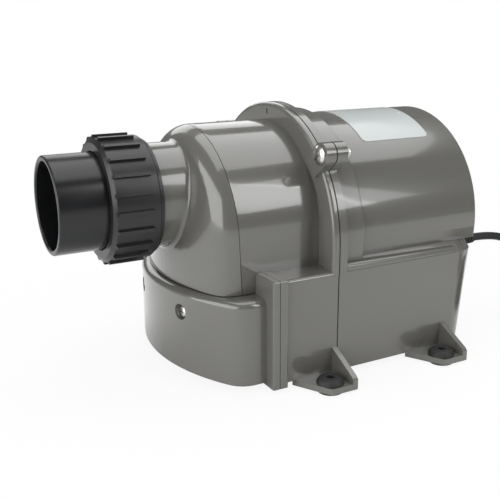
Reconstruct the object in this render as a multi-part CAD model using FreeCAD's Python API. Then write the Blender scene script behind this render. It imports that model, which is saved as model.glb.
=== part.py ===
import FreeCAD, Part
import math
import os
from FreeCAD import Vector

# Air blower with a union outlet. Millimetres, +Z up, outlet towards -X.
# The origin is on the surface it stands on, under the middle of its length and width.

# ---- lengths along the body, from the outlet to the rear face ----
outlet_reach = 81.4        # union mouth to the crown of the outlet cap
housing_length = 94.1      # crown to the flange seam
cover_length = 134.3       # flange seam to the rear face
cap_length = 28.2          # crown to the cap seam, at the dome's axis
cap_seam_tilt = 2.6        # degrees that the cap seam leans forwards
box_length = 48.7          # lower box of the front housing, forwards from the seam
tray_reach = 6.7           # how far the tray stands in front of the crown
flange_front = 5.1
flange_rear = 6.4
step_length = 18.0

# ---- sections ----
wall = 3.0
axis_z = 95.8              # axis of the rear cover, the flange and the motor
cover_radius = 82.3
step_radius = 86.8
flange_radius = 92.4
dome_axis_z = 105.5
dome_radius = 70.0
dome_floor_z = 66.3
dome_bow = 146.0
dome_corner = 17.0
base_half = 91.8
base_bottom_z = 4.9
ledge_z = 77.6
shoulder_z = 84.0
box_top_z = 79.0
band_foot_z = 79.0         # where the step band and the flange stop above the base
rear_lift = 4.9            # how far the cover's lower edge rises at the rear
lift_start = 34.4          # where that rise starts, forwards from the rear face
rear_lean = 8.0            # rear wall of the base, further in at the bottom
rear_set = 1.9
base_corner = 22.0
tray_set = 6.1             # the tray's sides stand in from the base's
tray_bow = 144.4
tray_corner = 19.6
tray_top_z = 65.7
tray_rim_round = 5.0
edge_round = 2.5
cover_edge_round = 1.5
step_round = 0.8
rib_stand = 3.4            # the seam ribs stand this far out of the base wall
rib_front = 5.0
rib_rear = 6.4
rib_bottom_z = 3.0
rib_top_z = 80.5

past = 1.0                 # how far a cutting tool runs past the face it starts from
far = 300.0                # further than any piece reaches
gutter_inset = 11.4        # ring of the flange's front face, outside its groove
gutter_drop = 5.8          # the groove's centre below the flange's axis
gutter_depth = 2.6
rib_round = 1.2
window_middle_half = 26.0  # windows between the front tray and the duct
window_side_inner = 46.0
window_side_outer = 78.0
window_sill = 2.0
window_head = 4.0
tray_floor_round = 1.5
seam_ease = 0.2            # the carrier's plate in its seat

# ---- clearances ----
seam_gap = 0.9             # gasket thickness in the flange seam
joint_line = 0.4           # dark line between two mouldings of the body
fit_gap = 0.3              # between pieces that move past each other
seal_inset = 1.2
gasket_lap = 2.0           # how far the gasket covers the carrier's plate
bearing_fit = 0.05

# ---- union ----
outlet_z = 127.2
tail_radius = 34.0
socket_radius = 30.15
socket_depth = 37.0
flow_radius = 27.0
tail_flange_radius = 38.0
tail_flange_length = 5.0
neck_radius = 37.0
neck_length = 12.0
neck_fillet = 4.0
collar_length = 26.0
collar_thread_radius = 40.2
collar_chamfer = 1.4
collar_shoulder_radius = 40.8
collar_shoulder_length = 2.6
sleeve_radius = 34.0
sleeve_length = 16.0
nut_radius = 43.3
nut_lip = 4.0
nut_band = 5.6
nut_chamfer = 2.2
nut_front_fall = 1.0       # how much further the front chamfer falls than it runs
nut_back_chamfer = 1.0
nut_rib_height = 2.0
nut_rib_width = 2.4
nut_rib_count = 22
nut_rib_phase = 10.4       # degrees from the top to the first rib
nut_rib_root = 1.2
nut_rib_lean = 1.0
nut_rib_start = 0.6        # rib foot in front of the chamfer's end
tail_chamfer = 0.8
oring_section = 1.6
oring_radius = 34.4

# ---- feet ----
foot_reach = 26.5          # outer edge of the feet, out of the base's wall
foot_length = 36.0         # along the wall
foot_outer_length = 21.0   # along the outer edge
foot_root = 1.0            # how deep a foot runs into the base's wall
foot_bottom_z = 1.5
foot_top_z = 6.0
gusset_wall_z = 24.0
gusset_outer_z = 11.0
gusset_thick = 4.0
gusset_cut = 2.0           # corner cut at the gusset's outer end
rear_foot_inset = 35.1     # rear edge of the rear feet to the rear face
grommet_set = 10.3         # grommet centre to the feet's outer edge
grommet_inset = 16.0       # grommet centre to the foot's rear edge
grommet_radius = 9.6
grommet_neck_radius = 6.5
grommet_height = 4.6
grommet_brim = 1.2
grommet_pad_set = 0.6      # pad smaller than the brim
bolt_hole_radius = 2.75

# ---- flange lugs and screws ----
lug_angle = 38.8           # degrees above horizontal, on each side
lug_stand = 8.0            # screw axis outside the flange's edge
lug_half_width = 8.4
lug_front = 8.1            # forwards from the seam
lug_rear = 9.0
screw_radius = 2.5
screw_hole_radius = 2.6
head_radius = 6.5
head_height = 3.4
nut_flats = 8.0
nut_height = 4.0
tray_screw_y = 36.0
tray_screw_z = 49.0
tray_recess_radius = 5.8
tray_recess_depth = 13.0
boss_radius = 5.5
boss_wall = 1.2
boss_root = 1.0            # how deep a boss runs into the wall it stands on
thread_bite = 0.4          # a screw's bore in a boss is this much narrower than its shank
tray_cup_wall = 2.0
tray_cup_set = 6.0         # cup mouth to the tray's front
tray_screw_length = 22.0
low_screw_head = 4.4
small_head_height = 2.8
low_screw_clear = 3.0      # screw tip to the end of its boss
end_ease = 2.0
low_screw_set = 13.8       # screw axis in from the base's side
low_screw_z = 16.0
low_boss_length = 15.0
cover_screw_x_inset = 17.0
cover_screw_set = 14.3     # screw axis in from the cover's side
cover_screw_seat = 20.0    # its head's seat above the base's bottom
cover_screw_bite = 10.0    # how far it goes into the cover's boss
cover_web = 3.0
cover_boss_height = 14.0

head_rim = 0.45            # shares of a pan head's height and radius
head_crown = 0.85
head_crown_radius = 0.72
head_top_radius = 0.35
recess_reach = 0.55
recess_half = 0.6

# ---- motor, forwards end at the commutator ----
carrier_plate = 2.5
carrier_inset = 6.0
carrier_radius = 75.2
carrier_wall = 3.0
carrier_seat_inset = 26.4  # seat face of the carrier, behind the seam plate
carrier_opening = 52.0
carrier_window_inner = 50.0
carrier_window_outer = 66.0
carrier_window_sill = 5.0
carrier_window_head = 9.0
carrier_notch_gap = 1.0
duct_top_z = 44.0
mount_ring_face = 2.0
mount_ring_length = 11.0
fan_radius = 68.0
fan_case_length = 46.0
fan_case_wall = 1.2
bracket_plate = 5.5
shaft_radius = 4.0
bearing_radius = 11.0
bearing_width = 7.0
bearing_race = 2.4
bearing_hub_wall = 3.0
impeller_radius = 58.0
impeller_height = 10.0
impeller_skin = 1.0
impeller_vanes = 7
impeller_eye = 21.0
eye_radius = 19.0
hub_radius = 9.0
diffuser_gap = 2.6
diffuser_height = 7.0
diffuser_vanes = 9
core_length = 32.0
core_radius = 20.0
air_gap = 0.6
stator_radius = 44.0
stator_flat = 38.0
winding_length = 9.0
winding_radius = 17.0
winding_end_gap = 1.0      # end turns to the shaft, and to what comes next on it
winding_bend = 2.0
coil_reach = 8.5
commutator_length = 17.0
commutator_radius = 12.5
commutator_bars = 24
motor_bolt_radius = 2.0
motor_bolt_pitch = 40.5
motor_bolt_angles = (45, 225)
brush_width = 6.0
brush_depth = 9.0
brush_length = 15.0
brush_tube_wall = 1.2
brush_spring_length = 9.0
brush_spring_wire = 0.4
brush_spring_turns = 4
brush_cap = 2.0
nose_ring_wall = 3.0
nose_ring_length = 5.0
rib_ease = 0.1             # nose ring's ribs to the dome's inside
nose_boot_wall = 4.0
nose_spoke_angles = (-90, 30, 150)
nose_lip = 1.0             # how far the housing's ring stands in front of the bearing cup
nose_boot_lap = 6.0        # how far the boot covers the cup's front
armature_slots = 12
armature_slot_inner = 12.0
armature_slot_half = 1.6
armature_tooth = 1.5       # iron outside each slot
armature_mouth_half = 0.6
commutator_gap_depth = 0.8
commutator_gap_half = 0.25
commutator_riser = 2.0
pole_slot_radius = 32.0
pole_slot_half = 25.0
pole_core_half = 9.0
pole_iron = 3.0            # iron between the bore and a coil slot
coil_clear = 0.4           # coil to the iron round it
coil_bend = 2.0            # coil ends stand this far off the core's faces
brush_fit = 0.1
brush_tube_start = 2.2     # inner end of a brush tube, out of the commutator
carrier_inner = 25.0       # brush carriers, measured from the motor's axis
carrier_outer = 34.0
carrier_foot = 36.0
carrier_half = 9.0
carrier_front = 8.0        # in front of the brush axis
rim_bore = 34.5
rim_length = 4.0
arm_thick = 5.0
arm_half_width = 5.0
arm_run = 10.0             # length of an arm's slope
arm_swell = 3.0
arm_root = 2.0             # how deep an arm's foot sits in the cup
port_outer = 60.0          # ports of the fan bracket
port_inner = 47.0
port_spokes = 6
port_spoke_half = 4.5
leg_radius = 5.0
leg_inset = 1.5
shaft_clear = 2.5          # round the shaft where no bearing holds it
shaft_nose = 0.5           # shaft past the nose bearing
shaft_tail = 7.0           # shaft past the first wheel
bearing_seat = 1.5         # bearing set back in its bracket
seal_set = 0.5
wheel_hub_share = 0.8      # length of a wheel's hub as a share of its height
wheel_fall = 2.0           # how much lower a wheel is at its rim
vane_sweep = 70.0
vane_thick = 1.2
wheel_gap = 2.5            # bracket to the second wheel
diffuser_rim = 4.0
diffuser_disc = 2.0
diffuser_cover = 1.2
diffuser_sweep = 55.0
diffuser_vane_thick = 1.4
fan_case_bend = 6.0
mount_ring_lap = 3.0
spacer_wall = 2.0
wheel_nut_flats = 13.0
wheel_nut_height = 6.0
coil_end_gap = 1.0
bolt_head_radius = 3.4
bolt_head_height = 2.6
cutout_half_length = 9.0
cutout_half_width = 6.0
cutout_height = 5.0

# ---- inside fittings ----
grille_margin = 9.0
grille_half = 52.0
grille_slot = 4.0
grille_bar = 3.2
grille_frame = 4.0
foam_overhang = 4.0
foam_height = 10.0
silencer_radius = 60.0
silencer_thick = 10.0
label_start_x = 47.4       # label's front edge behind the flange seam
label_length = 62.0
label_angle = 52.0
label_start = -37.4        # degrees from the top, towards -Y
label_thick = 0.3
label_clearance = 0.05
label_corner = 4.0
label_reach = 40.0         # of the block that cuts the label's outline

block_gap = 8.0            # behind the fan case
block_length = 22.0
block_height = 16.0
block_y = (-40.0, -4.0)
block_well_radius = 2.6
block_well_depth = 8.0
block_well_pitch = (10.0, 12.0)
can_length = 20.0
can_height = 14.0
can_y = (6.0, 32.0)
can_round = 2.0

# ---- supply cord ----
cord_radius = 3.2
cord_exit_y = -55.0
cord_exit_z = 74.0
gland_length = 26.0
gland_radius = 6.2
gland_neck_set = 1.2       # neck in the wall, smaller than the sleeve
gland_lip = 1.4
gland_lip_length = 3.5
gland_grip = 5.0           # the inner lip's face, inside the wall's outer face
gland_brim_start = 2.0
gland_brim_length = 2.5
gland_hole_reach = 12.0
# corners of the cord's path between the gland and the coil, and between the coil and the plug
cord_corners = [(206.0, -55.0, 74.0), (231.0, -57.5, 60.5), (252.0, -61.5, 42.0), (271.5, -74.8, 29.0)]
coil_join = (279.5, -99.26, 24.1)
coil_leave = (287.2, -103.4, 19.6)
tail_corners = [(294.2, -124.6, 17.5), (296.0, -147.8, 12.0)]
plug_tip = (295.0, -169.4, 12.0)
coil_centre = (250.0, -110.0)
coil_inner_radius = 31.4   # middle of the inner column of turns
coil_outer_radius = 37.8   # middle of the outer column of turns
coil_inner_height = 27.3
coil_outer_height = 23.0
coil_round = 2.0
arc_share = 0.45           # share of the shorter run that an arc takes at a corner

# ---- plug on the cord's end ----
plug_relief_length = 22.0
plug_relief_tip = 4.4
plug_relief_root = 6.6
plug_body_length = 36.0
plug_width = 26.0
plug_height = 24.0
plug_corner = 5.0
blade_spacing = 12.7
blade_width = 6.35
blade_thick = 1.5
blade_length = 17.5
blade_rise = 3.5           # blades above the plug's axis
blade_root = 2.0
earth_radius = 2.4
earth_drop = 8.4           # earth pin below the plug's axis
earth_length = 20.0

# ---- places worked out from the sizes above ----
overall_length = outlet_reach + housing_length + cover_length
mouth_x = -overall_length / 2
crown_x = mouth_x + outlet_reach
seam_x = crown_x + housing_length
rear_x = seam_x + cover_length
front_face_x = seam_x - seam_gap / 2       # rear face of the front housing
back_face_x = seam_x + seam_gap / 2        # front face of the rear mouldings
cap_seam_x = crown_x + cap_length
box_front_x = seam_x - box_length
tray_front_x = crown_x - tray_reach
foot_front_edge = front_face_x
foot_rear_edge = rear_x - rear_foot_inset
floor_inner_z = base_bottom_z + wall
tray_half = base_half - tray_set
foot_half = base_half + foot_reach
grommet_half = foot_half - grommet_set
lug_reach = flange_radius + lug_stand
low_screw_y = base_half - low_screw_set
cover_screw_y = cover_radius - cover_screw_set


def box(x0, x1, y0, y1, z0, z1):
    return Part.makeBox(x1 - x0, y1 - y0, z1 - z0, Vector(x0, y0, z0))


def rod_x(radius, x0, x1, y, z):
    return Part.makeCylinder(radius, x1 - x0, Vector(x0, y, z), Vector(1, 0, 0))


def rod_z(radius, z0, z1, x, y):
    return Part.makeCylinder(radius, z1 - z0, Vector(x, y, z0), Vector(0, 0, 1))


def tube_x(outer, inner, x0, x1, y, z):
    return rod_x(outer, x0, x1, y, z).cut(rod_x(inner, x0, x1, y, z))


def turned(profile, z):
    """Solid of revolution about the X line at height z, from (x, radius) points."""
    points = [Vector(x, 0, z + r) for x, r in profile]
    face = Part.Face(Part.makePolygon(points + [points[0]]))
    return face.revolve(Vector(0, 0, z), Vector(1, 0, 0), 360)


def fused(shapes):
    shapes = list(shapes)
    return shapes[0].fuse(shapes[1:]).removeSplitter() if len(shapes) > 1 else shapes[0]


def both_sides(shape):
    return [shape, shape.mirror(Vector(0, 0, 0), Vector(0, 1, 0))]


def flat_solid(points, direction):
    """Prism of a closed polygon of vectors, pushed along a direction."""
    return Part.Face(Part.makePolygon(points + [points[0]])).extrude(direction)


def side_profile(points, half):
    """Prism of (x, z) points, across the body from -half to +half."""
    return flat_solid([Vector(x, -half, z) for x, z in points], Vector(0, 2 * half, 0))


def round_edges(shape, radius, chosen):
    edges = [edge for edge in shape.Edges if chosen(edge.CenterOfMass, edge)]
    return shape.makeFillet(radius, edges)


def arch(x0, x1, radius, centre_z, bottom_z):
    """Half-round top on straight sides, as a prism along X."""
    left = Vector(x0, -radius, centre_z)
    right = Vector(x0, radius, centre_z)
    wire = Part.Wire([
        Part.Arc(left, Vector(x0, 0, centre_z + radius), right).toShape(),
        Part.LineSegment(right, Vector(x0, radius, bottom_z)).toShape(),
        Part.LineSegment(Vector(x0, radius, bottom_z), Vector(x0, -radius, bottom_z)).toShape(),
        Part.LineSegment(Vector(x0, -radius, bottom_z), left).toShape(),
    ])
    return Part.Face(wire).extrude(Vector(x1 - x0, 0, 0))


def bow_points(front_x, half, bow, corner):
    """Where a bowed front runs into a round corner, and that corner into a straight side."""
    bow_x = front_x + bow
    corner_x = bow_x - math.sqrt((bow - corner) ** 2 - (half - corner) ** 2)
    corner_y = half - corner
    reach = bow / (bow - corner)
    meet = (bow_x + (corner_x - bow_x) * reach, corner_y * reach)
    lean = math.atan2(corner_y, bow_x - corner_x)
    middle_angle = (lean + math.pi / 2) / 2
    corner_middle = (corner_x - corner * math.cos(middle_angle), corner_y + corner * math.sin(middle_angle))
    bow_middle = (bow_x - bow * math.cos(lean / 2), bow * math.sin(lean / 2))
    return meet, corner_middle, (corner_x, half), bow_middle


def bowed_plan(front_x, back_x, half, bow, corner, z):
    """Plan face with a bowed front, round front corners and a square back."""
    meet, corner_middle, side, bow_middle = bow_points(front_x, half, bow, corner)

    def at(point, sign):
        return Vector(point[0], sign * point[1], z)
    nose = Vector(front_x, 0, z)
    wire = Part.Wire([
        Part.Arc(at(meet, -1), nose, at(meet, 1)).toShape(),
        Part.Arc(at(meet, 1), at(corner_middle, 1), at(side, 1)).toShape(),
        Part.LineSegment(at(side, 1), Vector(back_x, half, z)).toShape(),
        Part.LineSegment(Vector(back_x, half, z), Vector(back_x, -half, z)).toShape(),
        Part.LineSegment(Vector(back_x, -half, z), at(side, -1)).toShape(),
        Part.Arc(at(side, -1), at(corner_middle, -1), at(meet, -1)).toShape(),
    ])
    return Part.Face(wire)


def dome(inset, back_x):
    """The housing's dome, inset all over: crowned front, half-round top, straight sides."""
    front_x = crown_x + inset
    half = dome_radius - inset
    bow = dome_bow - inset
    corner = dome_corner - inset
    meet, corner_middle, side, bow_middle = bow_points(front_x, half, bow, corner)

    def at(point):
        return Vector(point[0], point[1], dome_axis_z)
    axis_front = Vector(front_x, 0, dome_axis_z)
    axis_back = Vector(back_x, 0, dome_axis_z)
    wire = Part.Wire([
        Part.Arc(axis_front, at(bow_middle), at(meet)).toShape(),
        Part.Arc(at(meet), at(corner_middle), at(side)).toShape(),
        Part.LineSegment(at(side), Vector(back_x, half, dome_axis_z)).toShape(),
        Part.LineSegment(Vector(back_x, half, dome_axis_z), axis_back).toShape(),
        Part.LineSegment(axis_back, axis_front).toShape(),
    ])
    top = Part.Face(wire).revolve(Vector(0, 0, dome_axis_z), Vector(1, 0, 0), 180)
    drop = dome_axis_z - dome_floor_z - inset
    low = bowed_plan(front_x, back_x, half, bow, corner, dome_axis_z).extrude(Vector(0, 0, -drop))
    return fused([top, low])


def cap_side(offset, towards):
    """Half space in front of (-1) or behind (+1) the leaning cap seam."""
    lean = math.tan(math.radians(cap_seam_tilt))
    low_z = dome_axis_z - far
    high_z = dome_axis_z + far
    far_x = cap_seam_x + towards * far
    low_x = cap_seam_x + offset - (low_z - dome_axis_z) * lean
    high_x = cap_seam_x + offset - (high_z - dome_axis_z) * lean
    return side_profile([(far_x, low_z), (low_x, low_z), (high_x, high_z), (far_x, high_z)], far)


def lug(x0, x1, side):
    """Screw lug standing out of the flange, with a round outer end."""
    turn = math.radians(lug_angle)
    out = Vector(0, side * math.cos(turn), math.sin(turn))
    across = Vector(0, -out.z, out.y)
    root = Vector(x0, 0, axis_z) + out * (flange_radius - lug_stand)
    tip = Vector(x0, 0, axis_z) + out * lug_reach
    corners = [root + across * lug_half_width, tip + across * lug_half_width,
               tip - across * lug_half_width, root - across * lug_half_width]
    block = flat_solid(corners, Vector(x1 - x0, 0, 0))
    return block.fuse(rod_x(lug_half_width, x0, x1, tip.y, tip.z))


def lug_centre(side):
    turn = math.radians(lug_angle)
    return side * lug_reach * math.cos(turn), axis_z + lug_reach * math.sin(turn)


def foot(rear_edge):
    """One pair of feet: a tapering plate and a gusset on its rear edge, on each side."""
    inner = base_half - foot_root
    plate = flat_solid([
        Vector(rear_edge, inner, foot_bottom_z),
        Vector(rear_edge, foot_half, foot_bottom_z),
        Vector(rear_edge - foot_outer_length, foot_half, foot_bottom_z),
        Vector(rear_edge - foot_length, inner, foot_bottom_z),
    ], Vector(0, 0, foot_top_z - foot_bottom_z))
    gusset = flat_solid([
        Vector(rear_edge, inner, foot_bottom_z),
        Vector(rear_edge, foot_half, foot_bottom_z),
        Vector(rear_edge, foot_half, gusset_outer_z - gusset_cut),
        Vector(rear_edge, foot_half - gusset_cut, gusset_outer_z),
        Vector(rear_edge, inner, gusset_wall_z),
    ], Vector(-gusset_thick, 0, 0))
    solid = fused([plate, gusset])
    hole = rod_z(grommet_neck_radius, foot_bottom_z - past, foot_top_z + past, rear_edge - grommet_inset, grommet_half)
    return both_sides(solid.cut(hole))


def base_plan(z, half, back_x, corner, front_x):
    """Plan wire of the base at one height: square front, round rear corners."""
    arc_middle = corner * math.sqrt(0.5)
    points = {}
    for side in (-1, 1):
        centre = Vector(back_x - corner, side * (half - corner), z)
        points[side] = (Vector(centre.x, side * half, z),
                        centre + Vector(arc_middle, side * arc_middle, 0),
                        Vector(back_x, centre.y, z))
    return Part.Wire([
        Part.LineSegment(Vector(front_x, -half, z), points[-1][0]).toShape(),
        Part.Arc(*points[-1]).toShape(),
        Part.LineSegment(points[-1][2], points[1][2]).toShape(),
        Part.Arc(points[1][2], points[1][1], points[1][0]).toShape(),
        Part.LineSegment(points[1][0], Vector(front_x, half, z)).toShape(),
        Part.LineSegment(Vector(front_x, half, z), Vector(front_x, -half, z)).toShape(),
    ])


def base_form(inset, front_x):
    """Outer form of the rear base, or its hollow when inset: leaning rear wall, sloping shoulder."""
    shoulder_half = math.sqrt((cover_radius - inset) ** 2 - (shoulder_z - axis_z) ** 2)
    low = base_plan(base_bottom_z + inset, base_half - inset, rear_x - rear_set - rear_lean - inset,
                    base_corner - inset, front_x)
    ledge = base_plan(ledge_z, base_half - inset, rear_x - rear_set - inset, base_corner - inset, front_x)
    top = base_plan(shoulder_z, shoulder_half, rear_x - inset, base_corner - inset, front_x)
    lower = Part.makeLoft([low, ledge], True, True)
    upper = Part.makeLoft([ledge, top], True, True)
    return fused([lower, upper])


def above_split():
    """Everything above the line where the rear cover meets the base."""
    band_end = seam_x + flange_rear + step_length
    rise_x = rear_x - lift_start
    far_x = rear_x + lift_start
    far_z = shoulder_z + 2 * rear_lift
    return side_profile([(seam_x - far, band_foot_z), (band_end, band_foot_z), (band_end, shoulder_z),
                         (rise_x, shoulder_z), (far_x, far_z), (far_x, far), (seam_x - far, far)], far)


def screw(head_x, tip_x, y, z, shank, head, height):
    """Pan-head screw along X, head towards -X, with a cross recess."""
    dome_points = [(head_x, 0), (tip_x, 0), (tip_x, shank), (head_x, shank), (head_x, head),
                   (head_x - height * head_rim, head), (head_x - height * head_crown, head * head_crown_radius),
                   (head_x - height, head * head_top_radius), (head_x - height, 0)]
    body = turned(dome_points, 0)
    body.translate(Vector(0, y, z))
    x0 = head_x - height - past
    x1 = head_x - height * head_rim
    reach = head * recess_reach
    recess = [box(x0, x1, y - reach, y + reach, z - recess_half, z + recess_half),
              box(x0, x1, y - recess_half, y + recess_half, z - reach, z + reach)]
    return body.cut(recess)


def hex_nut(x0, x1, y, z, flats, hole):
    radius = flats / math.sqrt(3)
    corners = [Vector(x0, y + radius * math.cos(a), z + radius * math.sin(a))
               for a in (math.radians(60 * i) for i in range(6))]
    return flat_solid(corners, Vector(x1 - x0, 0, 0)).cut(rod_x(hole, x0, x1, y, z))


def save(name, shape):
    if isinstance(shape, list):
        shape = Part.makeCompound(shape)
    solids = shape.Solids
    whole = solids[0] if len(solids) == 1 else Part.makeCompound(solids)
    whole.exportStep(os.path.join("parts", name + ".step"))
    size = whole.BoundBox
    print(f"{name:20s} {len(solids)} solid {whole.Volume / 1000:9.2f} cm3 valid {whole.isValid()} "
          f"x {size.XMin:.1f}..{size.XMax:.1f} y {size.YMin:.1f}..{size.YMax:.1f} z {size.ZMin:.1f}..{size.ZMax:.1f}")
    return whole


# ======== body mouldings ========

def seam_outline(inset, x0, x1):
    return arch(x0, x1, flange_radius - inset, axis_z, base_bottom_z + inset)


def make_front_housing():
    rib_x1 = box_front_x + rib_rear
    flange_face_x = seam_x - flange_front
    body = box(box_front_x, front_face_x, -base_half, base_half, base_bottom_z, box_top_z)
    body = round_edges(body, edge_round, lambda c, e: abs(c.z - box_top_z) < 0.01 and abs(abs(c.y) - base_half) < 0.01)
    rib = box(box_front_x, rib_x1, -base_half - rib_stand, base_half + rib_stand, rib_bottom_z, rib_top_z)
    rib = round_edges(rib, rib_round, lambda c, e: abs(c.x - box_front_x) > 0.01 and c.z > rib_bottom_z + rib_round)
    ring = arch(flange_face_x, front_face_x, flange_radius, axis_z, band_foot_z - edge_round - past)
    ring = round_edges(ring, edge_round, lambda c, e: abs(c.x - flange_face_x) < 0.01 and c.z > band_foot_z)
    gutter = arch(flange_face_x - past, flange_face_x + gutter_depth, flange_radius - gutter_inset,
                  axis_z - gutter_drop, box_top_z)
    ring = ring.cut(gutter)
    skin = dome(0, front_face_x).common(cap_side(joint_line / 2, 1))
    lugs = [lug(seam_x - lug_front, front_face_x, side) for side in (-1, 1)]
    outer = fused([body, rib, skin, ring] + lugs + foot(foot_front_edge))

    chamber = box(box_front_x + wall, front_face_x + past, -base_half + wall, base_half - wall,
                  floor_inner_z, box_top_z - wall)
    spans = [(-window_side_outer, -window_side_inner), (-window_middle_half, window_middle_half),
             (window_side_inner, window_side_outer)]
    window = [box(box_front_x - past, box_front_x + wall + past, y0, y1,
                  floor_inner_z + window_sill, duct_top_z - window_head) for y0, y1 in spans]
    hollow = outer.cut([dome(wall, front_face_x + past), chamber] + window)

    posts = [rod_x(boss_radius, tray_post_end(), box_front_x + boss_root, y, tray_screw_z)
             for y in (-tray_screw_y, tray_screw_y)]
    solid = fused([hollow] + posts + low_bosses(front_face_x - low_boss_length, front_face_x))
    holes = [rod_x(screw_hole_radius, tray_post_end() - past, box_front_x + wall + past, y, tray_screw_z)
             for y in (-tray_screw_y, tray_screw_y)]
    holes += [rod_x(screw_hole_radius, front_face_x - low_boss_length - past, seam_x, y, low_screw_z)
              for y in (-low_screw_y, low_screw_y)]
    holes += [rod_x(screw_hole_radius, seam_x - lug_front - past, seam_x, *lug_centre(side)) for side in (-1, 1)]
    return solid.cut(holes)


def low_bosses(x0, x1):
    """A square boss in each lower corner of the seam, standing on the floor."""
    return [box(x0, x1, y - boss_radius, y + boss_radius, base_bottom_z + boss_root, low_screw_z + boss_radius)
            for y in (-low_screw_y, low_screw_y)]


def make_duct_baffle():
    """Plate across the front housing, between the motor above and the intake duct below."""
    return box(box_front_x + wall, front_face_x, -base_half + wall, base_half - wall,
               duct_top_z, duct_top_z + wall)


def make_nose_ring():
    """Ring on three ribs that holds the motor's nose in the dome."""
    x0, x1 = nose_ring_span()
    spokes = []
    for angle in nose_spoke_angles:
        spoke = box(x0, x1, 0, 2 * dome_radius, -wall / 2, wall / 2)
        spoke.rotate(Vector(0, 0, 0), Vector(1, 0, 0), angle)
        spoke.translate(Vector(0, 0, axis_z))
        spokes.append(spoke)
    outer = fused([rod_x(nose_ring_radius() + nose_ring_wall, x0, x1, 0, axis_z)] + spokes)
    outer = outer.common(dome(wall + rib_ease, front_face_x))
    return outer.cut(rod_x(nose_ring_radius(), x0 - past, x1 + past, 0, axis_z))


def neck_end_x():
    return crown_x - neck_length


def make_outlet_cap():
    skin = dome(0, cap_seam_x + dome_corner).common(cap_side(-joint_line / 2, -1))
    neck = rod_x(neck_radius, neck_end_x(), cap_seam_x - 2 * wall, 0, outlet_z)
    joined = skin.fuse(neck)
    bend = [edge for edge in joined.Edges if on_neck(edge)]
    joined = joined.makeFillet(neck_fillet, bend)
    return joined.cut([dome(wall, cap_seam_x + dome_corner),
                       rod_x(sleeve_radius, neck_end_x() - past, cap_seam_x, 0, outlet_z)])


def on_neck(edge):
    """Whether an edge is where the neck runs into the dome's front."""
    start = edge.Curve.value(edge.FirstParameter)
    reach = math.hypot(start.y, start.z - outlet_z)
    middle_x = edge.CenterOfMass.x
    return abs(reach - neck_radius) < 0.05 and neck_end_x() + 2 < middle_x < cap_seam_x - 8


def tray_back_x():
    return box_front_x - joint_line


def tray_post_end():
    return tray_cup_floor() + tray_cup_wall


def tray_cup_floor():
    return tray_front_x + tray_cup_set + tray_recess_depth


def grille_span():
    return crown_x + grille_margin, box_front_x - rib_front - grille_margin


def make_front_tray():
    back_x = tray_back_x()
    tub = bowed_plan(tray_front_x, back_x, tray_half, tray_bow, tray_corner, base_bottom_z)
    tub = tub.extrude(Vector(0, 0, tray_top_z - base_bottom_z))
    tub = round_edges(tub, tray_rim_round,
                      lambda c, e: abs(c.z - tray_top_z) < 0.01 and c.x < back_x - 0.01)
    tub = round_edges(tub, tray_floor_round, lambda c, e: abs(c.z - base_bottom_z) < 0.01 and c.x < back_x - 0.01)
    rib = box(back_x - rib_front, back_x, -base_half - rib_stand, base_half + rib_stand, rib_bottom_z, rib_top_z)
    rib = round_edges(rib, rib_round, lambda c, e: abs(c.x - back_x) > 0.01 and c.z > rib_bottom_z + rib_round)
    outer = fused([tub, rib]).cut(dome(-joint_line, back_x + dome_corner))
    hollow = bowed_plan(tray_front_x + wall, back_x + past, tray_half - wall, tray_bow - wall,
                        tray_corner - wall, floor_inner_z)
    hollow = hollow.extrude(Vector(0, 0, tray_top_z - wall - floor_inner_z))
    shell = outer.cut(hollow)
    cups = [rod_x(tray_recess_radius + tray_cup_wall, tray_front_x + wall, tray_post_end(), y, tray_screw_z)
            for y in (-tray_screw_y, tray_screw_y)]
    inside = bowed_plan(tray_front_x + boss_root, back_x, tray_half - boss_root, tray_bow - boss_root,
                        tray_corner - boss_root, base_bottom_z)
    inside = inside.extrude(Vector(0, 0, tray_top_z - base_bottom_z))
    cups = [cup.common(inside) for cup in cups]
    x0, x1 = grille_span()
    cuts = [rod_x(tray_recess_radius, tray_front_x - past, tray_cup_floor(), y, tray_screw_z)
            for y in (-tray_screw_y, tray_screw_y)]
    cuts += [rod_x(screw_hole_radius, tray_front_x, tray_post_end() + past, y, tray_screw_z)
             for y in (-tray_screw_y, tray_screw_y)]
    cuts.append(box(x0, x1, -grille_half, grille_half, base_bottom_z - past, floor_inner_z + past))
    return fused([shell] + cups).cut(cuts)


def rear_outer():
    flange = arch(back_face_x, seam_x + flange_rear, flange_radius, axis_z, ledge_z - edge_round)
    step = rod_x(step_radius, back_face_x, seam_x + flange_rear + step_length, 0, axis_z)
    barrel = rod_x(cover_radius, back_face_x, rear_x, 0, axis_z)
    barrel = round_edges(barrel, cover_edge_round, lambda c, e: abs(c.x - rear_x) < 0.01)
    barrel = barrel.common(upper_half())
    step = round_edges(step, step_round, lambda c, e: c.x > back_face_x + past)
    step = step.common(box(seam_x, rear_x, -far, far, ledge_z, far))
    lugs = [lug(back_face_x, seam_x + lug_rear, side) for side in (-1, 1)]
    return fused([flange, step, barrel, base_form(0, back_face_x)] + lugs + foot(foot_rear_edge))


def upper_half():
    """The space above the base's shoulder, where the cover is a full round."""
    return box(seam_x - far, rear_x + far, -far, far, shoulder_z, far)


def rear_hollow():
    barrel = rod_x(cover_radius - wall, back_face_x - past, rear_x - wall, 0, axis_z).common(upper_half())
    return fused([barrel, base_form(wall, back_face_x - past)])


def rear_pieces():
    shell = rear_outer().cut(rear_hollow())
    shell = shell.cut(carrier_seat())
    split = above_split()
    return shell.common(split), shell.cut(split)


def carrier_seat():
    """Recess round the rear mouldings' front edge that the carrier's plate lies in."""
    return seam_outline(carrier_inset - seam_ease, back_face_x - past, back_face_x + carrier_plate)


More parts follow.
